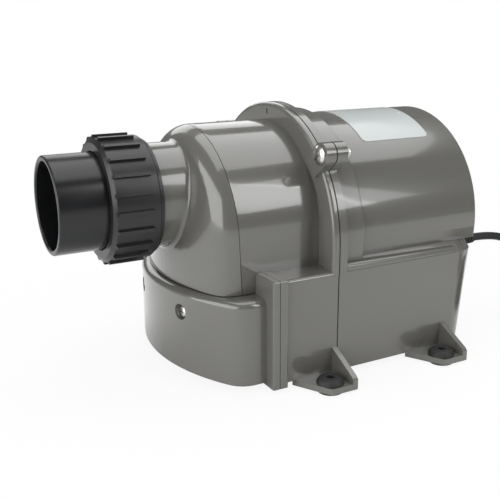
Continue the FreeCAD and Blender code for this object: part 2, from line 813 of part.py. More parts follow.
def cover_screw_places():
    return [(rear_x - cover_screw_x_inset, y) for y in (-cover_screw_y, cover_screw_y)]


def make_rear_cover(shell):
    bosses = []
    for x, y in cover_screw_places():
        boss = rod_z(boss_radius, shoulder_z, shoulder_z + cover_boss_height, x, y)
        web_y = math.copysign(cover_radius, y)
        web = box(x - cover_web / 2, x + cover_web / 2, min(y, web_y), max(y, web_y),
                  shoulder_z, shoulder_z + cover_boss_height)
        bosses += [boss, web.common(rod_x(cover_radius - boss_root, seam_x, rear_x - boss_root, 0, axis_z))]
    clear = above_split()
    bosses = [boss.common(clear) for boss in bosses]
    holes = [rod_z(screw_radius - thread_bite, shoulder_z - rear_lift, cover_screw_tip() + past, x, y)
             for x, y in cover_screw_places()]
    holes += [rod_x(screw_hole_radius, seam_x, seam_x + lug_rear + past, *lug_centre(side)) for side in (-1, 1)]
    return fused([shell] + bosses).cut(holes)


def cover_screw_tip():
    return shoulder_z + cover_screw_bite


def post_top_z(x):
    """Height of the cover's lower edge at this distance along the body."""
    rise_x = rear_x - lift_start
    return shoulder_z + max(0, x - rise_x) * rear_lift / lift_start


def gland_place():
    lean = rear_lean * (ledge_z - cord_exit_z) / (ledge_z - base_bottom_z)
    return rear_x - rear_set - lean


def make_rear_base(shell):
    posts = []
    holes = []
    for x, y in cover_screw_places():
        top_z = post_top_z(x - boss_radius) - seam_ease
        posts.append(rod_z(boss_radius, base_bottom_z + boss_root, top_z, x, y))
        holes.append(rod_z(screw_hole_radius, base_bottom_z - past, top_z + past, x, y))
        holes.append(rod_z(boss_radius - boss_wall, base_bottom_z - past, base_bottom_z + cover_screw_seat, x, y))
    holes += [rod_x(screw_radius - thread_bite, back_face_x - past, back_face_x + low_boss_length - low_screw_clear / 2,
                    y, low_screw_z) for y in (-low_screw_y, low_screw_y)]
    holes.append(rod_x(gland_radius - gland_neck_set, gland_place() - gland_hole_reach, rear_x + past,
                       cord_exit_y, cord_exit_z))
    bosses = [boss.cut(carrier_seat()) for boss in low_bosses(back_face_x, back_face_x + low_boss_length)]
    return fused([shell] + posts + bosses).cut(holes)


def make_flange_gasket():
    outer = seam_outline(seal_inset, front_face_x, back_face_x)
    inner = seam_outline(carrier_inset + gasket_lap, front_face_x - past, back_face_x + past)
    holes = [rod_x(screw_hole_radius + seam_ease, front_face_x - past, back_face_x + past, y, low_screw_z)
             for y in (-low_screw_y, low_screw_y)]
    return outer.cut([inner] + holes)


def make_cap_seal():
    slab = cap_side(joint_line / 2, -1).common(cap_side(-joint_line / 2, 1))
    return dome(seal_inset, cap_seam_x + dome_corner).common(slab).cut(dome(wall, cap_seam_x + dome_corner + past))


# ======== motor ========

def carrier_seat_x():
    return seam_x + carrier_seat_inset


def bracket_front_x():
    return carrier_seat_x() + carrier_wall + mount_ring_face


def bracket_back_x():
    return bracket_front_x() + bracket_plate


def bearing_front_x():
    return bracket_back_x() - bearing_seat - bearing_width


def core_back_x():
    return bearing_front_x() - bearing_hub_wall - coil_end_gap - winding_length


def core_front_x():
    return core_back_x() - core_length


def commutator_back_x():
    return core_front_x() - winding_length - commutator_riser


def commutator_front_x():
    return commutator_back_x() - commutator_length


def nose_bearing_back_x():
    return commutator_front_x() - 2 * coil_end_gap


def nose_bearing_front_x():
    return nose_bearing_back_x() - bearing_width


def nose_hub_front_x():
    return nose_bearing_front_x() - bearing_hub_wall


def nose_hub_radius():
    return bearing_radius + bearing_hub_wall


def nose_ring_radius():
    return nose_hub_radius() + nose_boot_wall


def nose_ring_span():
    return nose_hub_front_x() - nose_lip, nose_hub_front_x() + nose_ring_length - nose_lip


def brush_axis_x():
    return (commutator_front_x() + commutator_back_x()) / 2


def fan_back_x():
    return bracket_front_x() + fan_case_length


def second_wheel_x():
    return bracket_back_x() + wheel_gap


def diffuser_x():
    return second_wheel_x() + impeller_height + diffuser_gap


def first_wheel_x():
    return diffuser_x() + diffuser_height + diffuser_gap


def make_motor_carrier():
    plate = seam_outline(carrier_inset, back_face_x, back_face_x + carrier_plate)
    cup = rod_x(carrier_radius, back_face_x, carrier_seat_x() + mount_ring_length + carrier_wall, 0, axis_z)
    outer = fused([plate, cup])
    inner = carrier_radius - carrier_wall
    cuts = [rod_x(inner, back_face_x - past, carrier_seat_x(), 0, axis_z),
            rod_x(carrier_opening, carrier_seat_x() - past, carrier_seat_x() + carrier_wall + past, 0, axis_z),
            rod_x(inner, carrier_seat_x() + carrier_wall, rear_x, 0, axis_z)]
    cuts += both_sides(box(back_face_x - past, back_face_x + carrier_plate + past, carrier_window_inner,
                           carrier_window_outer, floor_inner_z + carrier_window_sill, duct_top_z - carrier_window_head))
    notch_y = low_screw_y - boss_radius - carrier_notch_gap
    cuts += both_sides(box(back_face_x - past, back_face_x + carrier_plate + past, notch_y, base_half,
                           base_bottom_z, low_screw_z + boss_radius + carrier_notch_gap))
    return outer.cut(cuts)


def make_fan_mount_ring():
    outer = carrier_radius - carrier_wall
    x0 = carrier_seat_x() + carrier_wall
    lap = carrier_opening + mount_ring_lap
    return turned([(x0, lap), (x0 + mount_ring_face, lap),
                   (x0 + mount_ring_face, fan_radius), (x0 + mount_ring_length, fan_radius),
                   (x0 + mount_ring_length, outer), (x0, outer)], axis_z)


def make_fan_case():
    x0 = bracket_front_x()
    x1 = fan_back_x()
    inner = fan_radius - fan_case_wall
    bend = fan_case_bend
    half_wall = fan_case_wall / 2
    return turned([(x0, inner), (x0, fan_radius), (x1 - bend, fan_radius), (x1, fan_radius - bend),
                   (x1, eye_radius), (x1 - fan_case_wall, eye_radius),
                   (x1 - fan_case_wall, fan_radius - bend - half_wall), (x1 - bend - half_wall, inner)], axis_z)


def make_fan_bracket():
    x0 = bracket_front_x()
    x1 = bracket_back_x()
    inner = fan_radius - fan_case_wall
    hub = bearing_radius + bearing_hub_wall
    plate = rod_x(inner, x0, x1, 0, axis_z)
    boss = rod_x(hub, bearing_front_x() - bearing_hub_wall, x1, 0, axis_z)
    ports = []
    ring = tube_x(port_outer, port_inner, x0 - past, x1 + past, 0, axis_z)
    for i in range(port_spokes):
        spoke = box(x0 - past, x1 + past, 0, fan_radius, -port_spoke_half, port_spoke_half)
        spoke.rotate(Vector(0, 0, 0), Vector(1, 0, 0), 360 / port_spokes * i)
        spoke.translate(Vector(0, 0, axis_z))
        ports.append(spoke)
    ring = ring.cut(ports)
    legs = []
    for i in range(4):
        angle = math.radians(45 + 90 * i)
        y = (motor_bolt_pitch - leg_inset) * math.cos(angle)
        z = axis_z + (motor_bolt_pitch - leg_inset) * math.sin(angle)
        legs.append(rod_x(leg_radius, core_back_x(), x0 + past, y, z))
    legs = [leg.common(rod_x(stator_radius, core_back_x(), x1, 0, axis_z)) for leg in legs]
    solid = fused([plate, boss] + legs).cut([ring])
    cuts = [rod_x(bearing_radius, bearing_front_x(), x1 + past, 0, axis_z),
            rod_x(shaft_radius + shaft_clear, bearing_front_x() - bearing_hub_wall - past, x1, 0, axis_z)]
    cuts += [rod_x(motor_bolt_radius, core_back_x() - past, x0 + past, y, z) for y, z in motor_bolt_places()]
    return solid.cut(cuts)


def motor_bolt_places():
    places = []
    for angle in motor_bolt_angles:
        turn = math.radians(angle)
        places.append((motor_bolt_pitch * math.cos(turn), axis_z + motor_bolt_pitch * math.sin(turn)))
    return places


def stator_blank(x0, x1, radius):
    flats = box(x0 - past, x1 + past, -stator_flat, stator_flat, axis_z - stator_flat, axis_z + stator_flat)
    return rod_x(radius, x0, x1, 0, axis_z).common(flats)


def half_box(x0, x1, side, half_height):
    """Box on one side of the motor's axis, as high as twice the half height."""
    return box(x0, x1, min(0, side * stator_radius), max(0, side * stator_radius),
               axis_z - half_height, axis_z + half_height)


def make_stator_core():
    x0 = core_front_x()
    x1 = core_back_x()
    bore = core_radius + air_gap
    cuts = [rod_x(bore, x0 - past, x1 + past, 0, axis_z)]
    # a coil slot above and below each of the two poles
    for side in (-1, 1):
        pole = tube_x(pole_slot_radius, bore + pole_iron, x0 - past, x1 + past, 0, axis_z)
        wedge = half_box(x0 - past, x1 + past, side, pole_slot_half)
        wedge = wedge.cut(box(x0 - 2 * past, x1 + 2 * past, -far, far, axis_z - pole_core_half, axis_z + pole_core_half))
        cuts.append(pole.common(wedge))
    cuts += [rod_x(motor_bolt_radius, x0 - past, x1 + past, y, z) for y, z in motor_bolt_places()]
    return stator_blank(x0, x1, stator_radius).cut(cuts)


def make_field_coils():
    """One racetrack coil round each pole, standing out of both ends of the core."""
    coils = []
    x0 = core_front_x() - coil_reach
    x1 = core_back_x() + coil_reach
    bore = core_radius + air_gap
    for side in (-1, 1):
        ring = tube_x(pole_slot_radius - coil_clear, bore + pole_iron + coil_clear, x0, x1, 0, axis_z)
        sector = half_box(x0, x1, side, pole_slot_half - coil_clear)
        opening = box(core_front_x() - coil_bend, core_back_x() + coil_bend, -far, far,
                      axis_z - pole_core_half - coil_clear, axis_z + pole_core_half + coil_clear)
        coils.append(ring.common(sector).cut(opening))
    return [coil for compound in coils for coil in compound.Solids]


def make_nose_bracket():
    """Commutator-end bracket: ring on the core, four arms and the bearing cup."""
    x1 = core_front_x()
    x0 = nose_hub_front_x()
    hub = nose_hub_radius()
    rim = stator_blank(x1 - rim_length, x1, stator_radius)
    rim = rim.cut(rod_x(rim_bore, x1 - rim_length - past, x1 + past, 0, axis_z))
    cup = rod_x(hub, x0, nose_bearing_back_x(), 0, axis_z)
    root_x = nose_ring_span()[1] + nose_lip
    outline = [(x1, stator_flat), (root_x + arm_run, stator_flat), (root_x, hub + arm_swell), (root_x, hub - arm_root),
               (nose_bearing_back_x(), hub - arm_root), (root_x + arm_run + arm_swell, stator_flat - arm_thick),
               (x1, stator_flat - arm_thick)]
    arm = flat_solid([Vector(x, y, -arm_half_width) for x, y in outline], Vector(0, 0, 2 * arm_half_width))
    arm.translate(Vector(0, 0, axis_z))
    arms = both_sides(arm)
    # brush tube carriers above and below, joined to the rim
    x_brush = brush_axis_x()
    carriers = []
    for side in (-1, 1):
        z0, z1, z2 = (axis_z + side * r for r in (carrier_inner, carrier_outer, carrier_foot))
        carriers.append(box(x_brush - carrier_front, x1 - rim_length / 2, -carrier_half, carrier_half,
                            min(z0, z1), max(z0, z1)))
        carriers.append(box(x1 - rim_length, x1, -carrier_half, carrier_half, min(z0, z2), max(z0, z2)))
    solid = fused([rim, cup] + arms + carriers)
    cuts = [rod_x(bearing_radius, nose_bearing_front_x(), x1, 0, axis_z),
            rod_x(shaft_radius + shaft_clear, x0 + bearing_hub_wall / 2, x1 + past, 0, axis_z),
            rod_x(commutator_radius + 2 * commutator_riser + past, nose_bearing_back_x(), x1 + past, 0, axis_z),
            brush_tube_hole()]
    cuts.append(rod_x(carrier_inner - past, commutator_back_x() - past, x1 + past, 0, axis_z))
    cuts += [rod_x(motor_bolt_radius, x1 - rim_length - past, x1 + past, y, z) for y, z in motor_bolt_places()]
    return solid.cut(cuts)


def brush_box(margin, inner, outer, side):
    x = brush_axis_x()
    half_x = brush_width / 2 + margin
    half_y = brush_depth / 2 + margin
    z0 = axis_z + side * inner
    z1 = axis_z + side * outer
    return box(x - half_x, x + half_x, -half_y, half_y, min(z0, z1), max(z0, z1))


def brush_tube_inner():
    return commutator_radius + brush_tube_start


def brush_tube_outer():
    return commutator_radius + fit_gap + brush_length + brush_spring_length + brush_cap


def brush_tube_hole():
    margin = brush_tube_wall + brush_fit
    return fused([brush_box(margin, 0, brush_tube_outer() + past, side) for side in (-1, 1)])


def make_brush_holders():
    """Square brass tube with a closed outer end for each brush."""
    holders = []
    for side in (-1, 1):
        tube = brush_box(brush_tube_wall + brush_fit, brush_tube_inner(), brush_tube_outer(), side)
        holders.append(tube.cut(brush_box(brush_fit, brush_tube_inner() - past, brush_tube_outer() - brush_cap, side)))
    return holders


def make_brush(side):
    inner = commutator_radius + fit_gap
    brush = brush_box(0, commutator_radius / 2, inner + brush_length, side)
    return brush.cut(rod_x(inner, -far, far, 0, axis_z))


def make_brush_spring(side):
    """Compression spring behind the brush, drawn as a sleeve with a ridge for each turn."""
    start = commutator_radius + 2 * fit_gap + brush_length
    end = brush_tube_outer() - brush_cap
    pitch = (end - start) / brush_spring_turns
    outer = brush_width / 2 - fit_gap
    inner = outer - 2 * brush_spring_wire
    groove = outer - brush_spring_wire
    profile = [(end, inner), (start, inner), (start, groove)]
    for i in range(brush_spring_turns):
        profile += [(start + pitch * (i + 0.5), outer), (start + pitch * (i + 1), groove)]
    spring = turned(profile, 0)
    spring.rotate(Vector(0, 0, 0), Vector(0, 1, 0), -90)
    spring.translate(Vector(brush_axis_x(), 0, axis_z))
    if side < 0:
        spring = spring.mirror(Vector(0, 0, axis_z), Vector(0, 0, 1))
    return spring


def make_bearing(x0):
    """Ball bearing drawn as one piece: races with the seal set back between them."""
    x1 = x0 + bearing_width
    inner = shaft_radius
    low = inner + bearing_race
    high = bearing_radius - bearing_race
    return turned([(x0, inner), (x0, low), (x0 + seal_set, low), (x0 + seal_set, high), (x0, high),
                   (x0, bearing_radius), (x1, bearing_radius), (x1, high), (x1 - seal_set, high),
                   (x1 - seal_set, low), (x1, low), (x1, inner)], axis_z)


def make_shaft():
    x0 = nose_bearing_front_x() - shaft_nose
    x1 = first_wheel_x() + impeller_height + shaft_tail
    thin = shaft_radius - bearing_fit
    tip = thin - shaft_nose
    return turned([(x0, 0), (x0, tip), (x0 + shaft_nose, thin), (x1 - shaft_nose, thin), (x1, tip), (x1, 0)], axis_z)


def bored(shape):
    """Cut the shaft's bore: a press fit of the same radius as the shaft."""
    return shape.cut(rod_x(shaft_radius - bearing_fit, -far, far, 0, axis_z))


def make_armature_core():
    x0 = core_front_x()
    x1 = core_back_x()
    slots = []
    for i in range(armature_slots):
        slot = box(x0 - past, x1 + past, armature_slot_inner, core_radius - armature_tooth,
                   -armature_slot_half, armature_slot_half)
        mouth = box(x0 - past, x1 + past, core_radius - 2 * armature_tooth, core_radius + past,
                    -armature_mouth_half, armature_mouth_half)
        for cut in (slot, mouth):
            cut.rotate(Vector(0, 0, 0), Vector(1, 0, 0), 360 / armature_slots * i)
            cut.translate(Vector(0, 0, axis_z))
            slots.append(cut)
    return bored(rod_x(core_radius, x0, x1, 0, axis_z)).cut(slots)


def make_armature_winding():
    """End turns of the winding on both faces of the core."""
    ends = []
    for face, outwards in ((core_front_x(), -1), (core_back_x(), 1)):
        tip = face + outwards * (winding_length - winding_end_gap)
        bore = shaft_radius + winding_end_gap
        shoulder = face + outwards * winding_length / 3
        profile = [(face, bore), (face, winding_radius), (shoulder, winding_radius),
                   (tip - outwards * winding_bend, winding_radius - winding_bend),
                   (tip, winding_radius - 2.5 * winding_bend), (tip, bore)]
        ends.append(turned(profile, axis_z))
    return ends


def make_commutator():
    x0 = commutator_front_x()
    x1 = commutator_back_x()
    drum = turned([(x0, shaft_nose), (x0, commutator_radius), (x1 - commutator_riser, commutator_radius),
                   (x1 - commutator_riser, commutator_radius + commutator_riser),
                   (x1, commutator_radius + commutator_riser), (x1, shaft_nose)], axis_z)
    gaps = []
    for i in range(commutator_bars):
        gap = box(x0 - past, x1 + past, commutator_radius - commutator_gap_depth,
                  commutator_radius + commutator_riser + past, -commutator_gap_half, commutator_gap_half)
        gap.rotate(Vector(0, 0, 0), Vector(1, 0, 0), 360 / commutator_bars * (i + 0.5))
        gap.translate(Vector(0, 0, axis_z))
        gaps.append(gap)
    return bored(drum.cut(gaps))


def curved_vane(x0, x1, inner, outer, sweep, start, thick):
    """Vane on an arc from the inner to the outer radius, trailing by the sweep angle."""
    def at(radius, angle, shift):
        return Vector(x0, (radius + shift) * math.cos(angle), axis_z + (radius + shift) * math.sin(angle))
    a0 = math.radians(start)
    a1 = math.radians(start + sweep * 0.42)
    a2 = math.radians(start + sweep)
    middle = (inner + outer) / 2
    tilt = thick / middle
    front = Part.Arc(at(inner, a0, 0), at(middle, a1, 0), at(outer, a2, 0)).toShape()
    back = Part.Arc(at(outer, a2 - tilt, 0), at(middle, a1 - tilt * 1.5, 0), at(inner, a0 - tilt * 2, 0)).toShape()
    out = Part.LineSegment(at(outer, a2, 0), at(outer, a2 - tilt, 0)).toShape()
    close = Part.LineSegment(at(inner, a0 - tilt * 2, 0), at(inner, a0, 0)).toShape()
    return Part.Face(Part.Wire([front, out, back, close])).extrude(Vector(x1 - x0, 0, 0))


def wheel_hub_length():
    return impeller_height * wheel_hub_share


def make_impeller(x0):
    x1 = x0 + impeller_height
    back = rod_x(impeller_radius, x0, x0 + impeller_skin, 0, axis_z)
    rim_x = x1 - wheel_fall
    half_skin = impeller_skin / 2
    shroud = turned([(x1 - impeller_skin, impeller_eye), (x1, impeller_eye), (rim_x, impeller_radius),
                     (rim_x - impeller_skin, impeller_radius)], axis_z)
    hub = rod_x(hub_radius, x0, x0 + wheel_hub_length(), 0, axis_z)
    vanes = [curved_vane(x0 + half_skin, x1 - impeller_skin, impeller_eye + wheel_fall, impeller_radius - half_skin,
                         -vane_sweep, 360 / impeller_vanes * i, vane_thick) for i in range(impeller_vanes)]
    under = turned([(x0, shaft_nose), (x1 - half_skin, hub_radius), (x1 - half_skin, impeller_eye),
                    (rim_x - half_skin, impeller_radius), (x0, impeller_radius)], axis_z)
    vanes = [vane.common(under) for vane in vanes]
    return bored(fused([back, shroud, hub] + vanes))


def make_diffuser():
    x0 = diffuser_x()
    x1 = x0 + diffuser_height
    inner = fan_radius - fan_case_wall
    disc = tube_x(inner, hub_radius + shaft_clear, x1 - diffuser_disc, x1, 0, axis_z)
    cover = tube_x(inner - diffuser_rim, impeller_eye, x0, x0 + diffuser_cover, 0, axis_z)
    vanes = [curved_vane(x0 + diffuser_cover / 2, x1 - diffuser_disc / 2, impeller_eye + diffuser_rim,
                         inner - diffuser_rim - diffuser_cover / 2, diffuser_sweep, 360 / diffuser_vanes * i,
                         diffuser_vane_thick) for i in range(diffuser_vanes)]
    return fused([disc, cover] + vanes)


def make_shaft_spacer():
    """Sleeve that holds the two fan wheels apart on the shaft."""
    x0 = second_wheel_x() + wheel_hub_length()
    return bored(rod_x(hub_radius - spacer_wall, x0, first_wheel_x(), 0, axis_z))


def make_bearing_spacer():
    x0 = bearing_front_x() + bearing_width + fit_gap
    return bored(rod_x(shaft_radius + spacer_wall, x0, second_wheel_x(), 0, axis_z))


def make_impeller_nut():
    x0 = first_wheel_x() + wheel_hub_length()
    return bored(hex_nut(x0, x0 + wheel_nut_height, 0, axis_z, wheel_nut_flats, shaft_nose))


def make_nose_boot():
    """Rubber boot between the motor's bearing cup and the ring in the housing."""
    x0, x1 = nose_ring_span()
    front = nose_hub_front_x()
    lap = nose_hub_radius() - nose_boot_lap
    return turned([(x0, lap), (x0, nose_ring_radius()), (x1, nose_ring_radius()),
                   (x1, nose_hub_radius()), (front, nose_hub_radius()), (front, lap)], axis_z)


def make_motor_bolts():
    x0 = core_front_x() - rim_length
    bolts = []
    for y, z in motor_bolt_places():
        bolts.append(screw(x0, bracket_front_x(), y, z, motor_bolt_radius, bolt_head_radius, bolt_head_height))
    return bolts


def make_thermal_cutout():
    z = axis_z + stator_flat
    x = (core_front_x() + core_back_x()) / 2
    return box(x - cutout_half_length, x + cutout_half_length, -cutout_half_width, cutout_half_width,
               z, z + cutout_height)


# ======== union ========

def collar_face_x():
    return collar_shoulder_x() - collar_length + collar_shoulder_length


def collar_shoulder_x():
    return neck_end_x() - collar_shoulder_length


def make_union_collar():
    """Plain collar at the thread's outer size, with a shoulder and the sleeve that enters the neck."""
    face = collar_face_x()
    shoulder = collar_shoulder_x()
    neck = neck_end_x()
    outer = collar_thread_radius
    profile = [(face, flow_radius), (face, outer - collar_chamfer), (face + collar_chamfer, outer),
               (shoulder, outer), (shoulder, collar_shoulder_radius), (neck, collar_shoulder_radius),
               (neck, sleeve_radius), (neck + sleeve_length, sleeve_radius), (neck + sleeve_length, flow_radius)]
    groove = tube_x(oring_radius + oring_section, oring_radius - oring_section,
                    face - past, face + 2 * oring_section - fit_gap, 0, outlet_z)
    return turned(profile, outlet_z).cut(groove)


def make_union_o_ring():
    x = collar_face_x() + oring_section - fit_gap
    return Part.makeTorus(oring_radius, oring_section, Vector(x, 0, outlet_z), Vector(1, 0, 0))


def tail_face_x():
    return collar_face_x() - 2 * fit_gap


def tail_flange_x():
    return tail_face_x() - tail_flange_length


def make_tail_piece():
    """Spigot with a pipe socket in its mouth and the flange that the nut pulls on."""
    x0 = mouth_x
    x1 = tail_face_x()
    flange = tail_flange_x()
    return turned([(x0, socket_radius + tail_chamfer), (x0, tail_radius - tail_chamfer), (x0 + tail_chamfer, tail_radius),
                   (flange, tail_radius), (flange, tail_flange_radius), (x1, tail_flange_radius),
                   (x1, flow_radius), (x0 + socket_depth, flow_radius), (x0 + socket_depth, socket_radius),
                   (x0 + tail_chamfer, socket_radius)], outlet_z)


def make_union_nut():
    """Ribbed ring nut: a lip over the tail's flange, and a bore over the collar's thread."""
    lip_back = tail_flange_x() - fit_gap
    x0 = lip_back - nut_lip
    x1 = collar_shoulder_x() - fit_gap
    bore = collar_thread_radius + fit_gap
    inner = [(x1, bore), (tail_face_x(), bore), (tail_face_x(), tail_flange_radius + fit_gap),
             (lip_back, tail_flange_radius + fit_gap), (lip_back, tail_radius + fit_gap * 2),
             (x0, tail_radius + fit_gap * 2)]
    outer = [(x0, nut_radius - nut_chamfer - nut_front_fall), (x0 + nut_chamfer, nut_radius),
             (x1 - nut_back_chamfer, nut_radius), (x1, nut_radius - nut_back_chamfer)]
    ring = turned(inner + outer, outlet_z)
    ribs = []
    rib_x0 = x0 + nut_chamfer - nut_rib_start
    rib_x1 = x1 - nut_band
    low = nut_radius - nut_rib_root
    high = nut_radius + nut_rib_height
    corners = [(rib_x0, low), (rib_x0 + nut_rib_lean, high), (rib_x1, high), (rib_x1, low)]
    for i in range(nut_rib_count):
        rib = flat_solid([Vector(x, -nut_rib_width / 2, r) for x, r in corners], Vector(0, nut_rib_width, 0))
        rib.rotate(Vector(0, 0, 0), Vector(1, 0, 0), nut_rib_phase + 360 / nut_rib_count * i)
        rib.translate(Vector(0, 0, outlet_z))
        ribs.append(rib)
    return fused([ring] + ribs)


# ======== small fittings ========

def make_grommets():
    """Rubber grommet in each foot: domed top, neck through the plate, and a pad underneath."""
    neck = grommet_neck_radius
    pad = grommet_radius - grommet_pad_set
    crown = grommet_radius - grommet_brim
    top = foot_top_z + grommet_height
    grommets = []
    for edge in (foot_front_edge, foot_rear_edge):
        for y in (-grommet_half, grommet_half):
            profile = [(bolt_hole_radius, 0), (pad, 0), (pad, foot_bottom_z),
                       (neck, foot_bottom_z), (neck, foot_top_z), (grommet_radius, foot_top_z),
                       (grommet_radius, foot_top_z + grommet_brim), (crown, top - grommet_brim),
                       (grommet_radius / 2, top), (bolt_hole_radius, top)]
            x = edge - grommet_inset
            points = [Vector(x + r, y, z) for r, z in profile]
            face = Part.Face(Part.makePolygon(points + [points[0]]))
            grommets.append(face.revolve(Vector(x, y, 0), Vector(0, 0, 1), 360))
    return grommets


def make_flange_screws():
    return [screw(seam_x - lug_front, seam_x + lug_rear + nut_height + end_ease, *lug_centre(side),
                  screw_radius, head_radius, head_height) for side in (-1, 1)]


def make_flange_nuts():
    return [hex_nut(seam_x + lug_rear, seam_x + lug_rear + nut_height, *lug_centre(side), nut_flats, screw_radius)
            for side in (-1, 1)]


def make_tray_screws():
    x = tray_cup_floor()
    return [screw(x, x + tray_screw_length, y, tray_screw_z, screw_radius, tray_recess_radius - boss_wall,
                  small_head_height)
            for y in (-tray_screw_y, tray_screw_y)]


def make_base_screws():
    x = front_face_x - low_boss_length
    return [screw(x, back_face_x + low_boss_length - low_screw_clear, y, low_screw_z, screw_radius - thread_bite,
                  low_screw_head, small_head_height) for y in (-low_screw_y, low_screw_y)]


def make_cover_screws():
    screws = []
    for x, y in cover_screw_places():
        seat = base_bottom_z + cover_screw_seat
        pin = screw(0, cover_screw_tip() - seat, 0, 0, screw_radius - thread_bite,
                    boss_radius - boss_wall - fit_gap, small_head_height)
        pin.rotate(Vector(0, 0, 0), Vector(0, 1, 0), -90)
        pin.translate(Vector(x, y, seat))
        screws.append(pin)
    return screws


def make_intake_grille():
    x0, x1 = grille_span()
    plate = box(x0, x1, -grille_half, grille_half, base_bottom_z, floor_inner_z)
    pitch = grille_slot + grille_bar
    count = int(2 * (grille_half - grille_frame) / pitch)
    slots = []
    for i in range(count):
        y = (i - (count - 1) / 2) * pitch
        slots.append(box(x0 + grille_frame, x1 - grille_frame, y - grille_slot / 2, y + grille_slot / 2,
                         base_bottom_z - past, floor_inner_z + past))
    return plate.cut(slots)


def make_foam_filter():
    x0, x1 = grille_span()
    half = grille_half + foam_overhang
    return box(x0, x1, -half, half, floor_inner_z, floor_inner_z + foam_height)


def make_silencer_foam():
    """Half-round pad on the inside of the cover's rear wall."""
    x1 = rear_x - wall
    pad = rod_x(silencer_radius, x1 - silencer_thick, x1, 0, axis_z)
    return pad.common(box(-far, far, -far, far, shoulder_z + rear_lift + end_ease, far))


def make_label():
    x0 = seam_x + label_start_x
    under = cover_radius + label_clearance
    ring = tube_x(under + label_thick, under, x0, x0 + label_length, 0, axis_z)
    middle = label_start + label_angle / 2
    half = cover_radius * math.radians(label_angle) / 2
    middle_z = cover_radius
    pad = box(x0, x0 + label_length, -half, half, middle_z - label_reach, middle_z + label_reach)
    pad = round_edges(pad, label_corner, lambda c, e: abs(c.z - middle_z) < 0.01)
    pad.rotate(Vector(0, 0, 0), Vector(1, 0, 0), -middle)
    pad.translate(Vector(0, 0, axis_z))
    return ring.common(pad)


def make_terminal_block():
    """Block with two rows of three screw wells."""
    x0 = fan_back_x() + block_gap
    x1 = x0 + block_length
    top_z = floor_inner_z + block_height
    middle_y = sum(block_y) / 2
    wells = [rod_z(block_well_radius, top_z - block_well_depth, top_z + past,
                   (x0 + x1) / 2 + row * block_well_pitch[0] / 2, middle_y + place * block_well_pitch[1])
             for row in (-1, 1) for place in (-1, 0, 1)]
    return box(x0, x1, *block_y, floor_inner_z, top_z).cut(wells)


def make_capacitor():
    x0 = fan_back_x() + block_gap
    can = box(x0, x0 + can_length, *can_y, floor_inner_z, floor_inner_z + can_height)
    return round_edges(can, can_round, lambda c, e: abs(c.z - floor_inner_z) > 1)


def gland_tip_x():
    return gland_place() + gland_length


def make_cord_gland():
    """Strain relief: a collar that grips the rear wall, and a tapering sleeve outside."""
    x0 = gland_place()
    neck = gland_radius - gland_neck_set
    lip_x = x0 - gland_grip
    brim_x0 = x0 + gland_brim_start
    brim_x1 = brim_x0 + gland_brim_length
    profile = [(lip_x - gland_lip_length, 0), (lip_x - gland_lip_length, neck + gland_lip), (lip_x, neck + gland_lip),
               (lip_x, neck), (brim_x0, neck), (brim_x0, gland_radius + gland_lip),
               (brim_x1, gland_radius + gland_lip), (brim_x1, gland_radius - gland_neck_set / 2),
               (gland_tip_x(), cord_radius + gland_neck_set), (gland_tip_x(), 0)]
    gland = turned(profile, 0)
    gland.translate(Vector(0, cord_exit_y, cord_exit_z))
    return gland


# ======== supply cord ========

def cord_path(points):
    """Straight runs joined by arcs that are tangent to both; prints each arc's radius."""
    edges = []
    start = points[0]
    radii = []
    for before, corner, after in zip(points, points[1:], points[2:]):
        back = before - corner
        ahead = after - corner
        turn = math.pi - back.getAngle(ahead)
        reach = arc_share * min(back.Length, ahead.Length)
        radius = reach / math.tan(turn / 2)
        radii.append(round(radius, 1))
        back.normalize()
        ahead.normalize()
        inwards = (back + ahead).normalize()
        enter = corner + back * reach
        leave = corner + ahead * reach
        middle = corner + inwards * (math.hypot(radius, reach) - radius)
        edges += [Part.LineSegment(start, enter).toShape(), Part.Arc(enter, middle, leave).toShape()]
        start = leave
    edges.append(Part.LineSegment(start, points[-1]).toShape())
    wire = Part.Wire(edges)
    print("cord arcs of radius", radii, "and path of length", round(wire.Length, 1))
    return wire


def cord_tube(points):
    path = cord_path(points)
    ring = Part.Wire(Part.makeCircle(cord_radius, points[0], points[1] - points[0]))
    tube = path.makePipeShell([ring], True, True)
    print("cord volume over section times length", round(tube.Volume / (path.Length * math.pi * cord_radius ** 2), 4))
    return tube


def cord_start():
    return Vector(gland_tip_x(), cord_exit_y, cord_exit_z)


def make_power_cord():
    return cord_tube([cord_start()] + [Vector(*corner) for corner in cord_corners] + [Vector(*coil_join)])


def make_cord_tail():
    return cord_tube([Vector(*coil_leave)] + [Vector(*corner) for corner in tail_corners] + [Vector(*plug_tip)])


def make_cord_coil():
    """Outer shape of the two columns of turns, with a seat for each end that enters it."""
    inner = coil_inner_radius - cord_radius
    middle = coil_inner_radius + cord_radius
    outer = coil_outer_radius + cord_radius
    soft = coil_round
    points = [(inner, soft), (inner + soft, 0), (outer - soft, 0), (outer, soft), (outer, coil_outer_height - soft),
              (outer - soft, coil_outer_height), (middle, coil_outer_height), (middle, coil_inner_height - soft),
              (middle - soft, coil_inner_height), (inner + soft, coil_inner_height), (inner, coil_inner_height - soft)]
    centre = Vector(coil_centre[0], coil_centre[1], 0)
    corners = [centre + Vector(r, 0, z) for r, z in points]
    ring = Part.Face(Part.makePolygon(corners + [corners[0]])).revolve(centre, Vector(0, 0, 1), 360)
    seats = []
    for end, neighbour in ((coil_join, cord_corners[-1]), (coil_leave, tail_corners[0])):
        outwards = Vector(*neighbour) - Vector(*end)
        seats.append(Part.makeCylinder(cord_radius + fit_gap, outwards.Length + coil_outer_radius, Vector(*end), outwards))
    return ring.cut(seats)


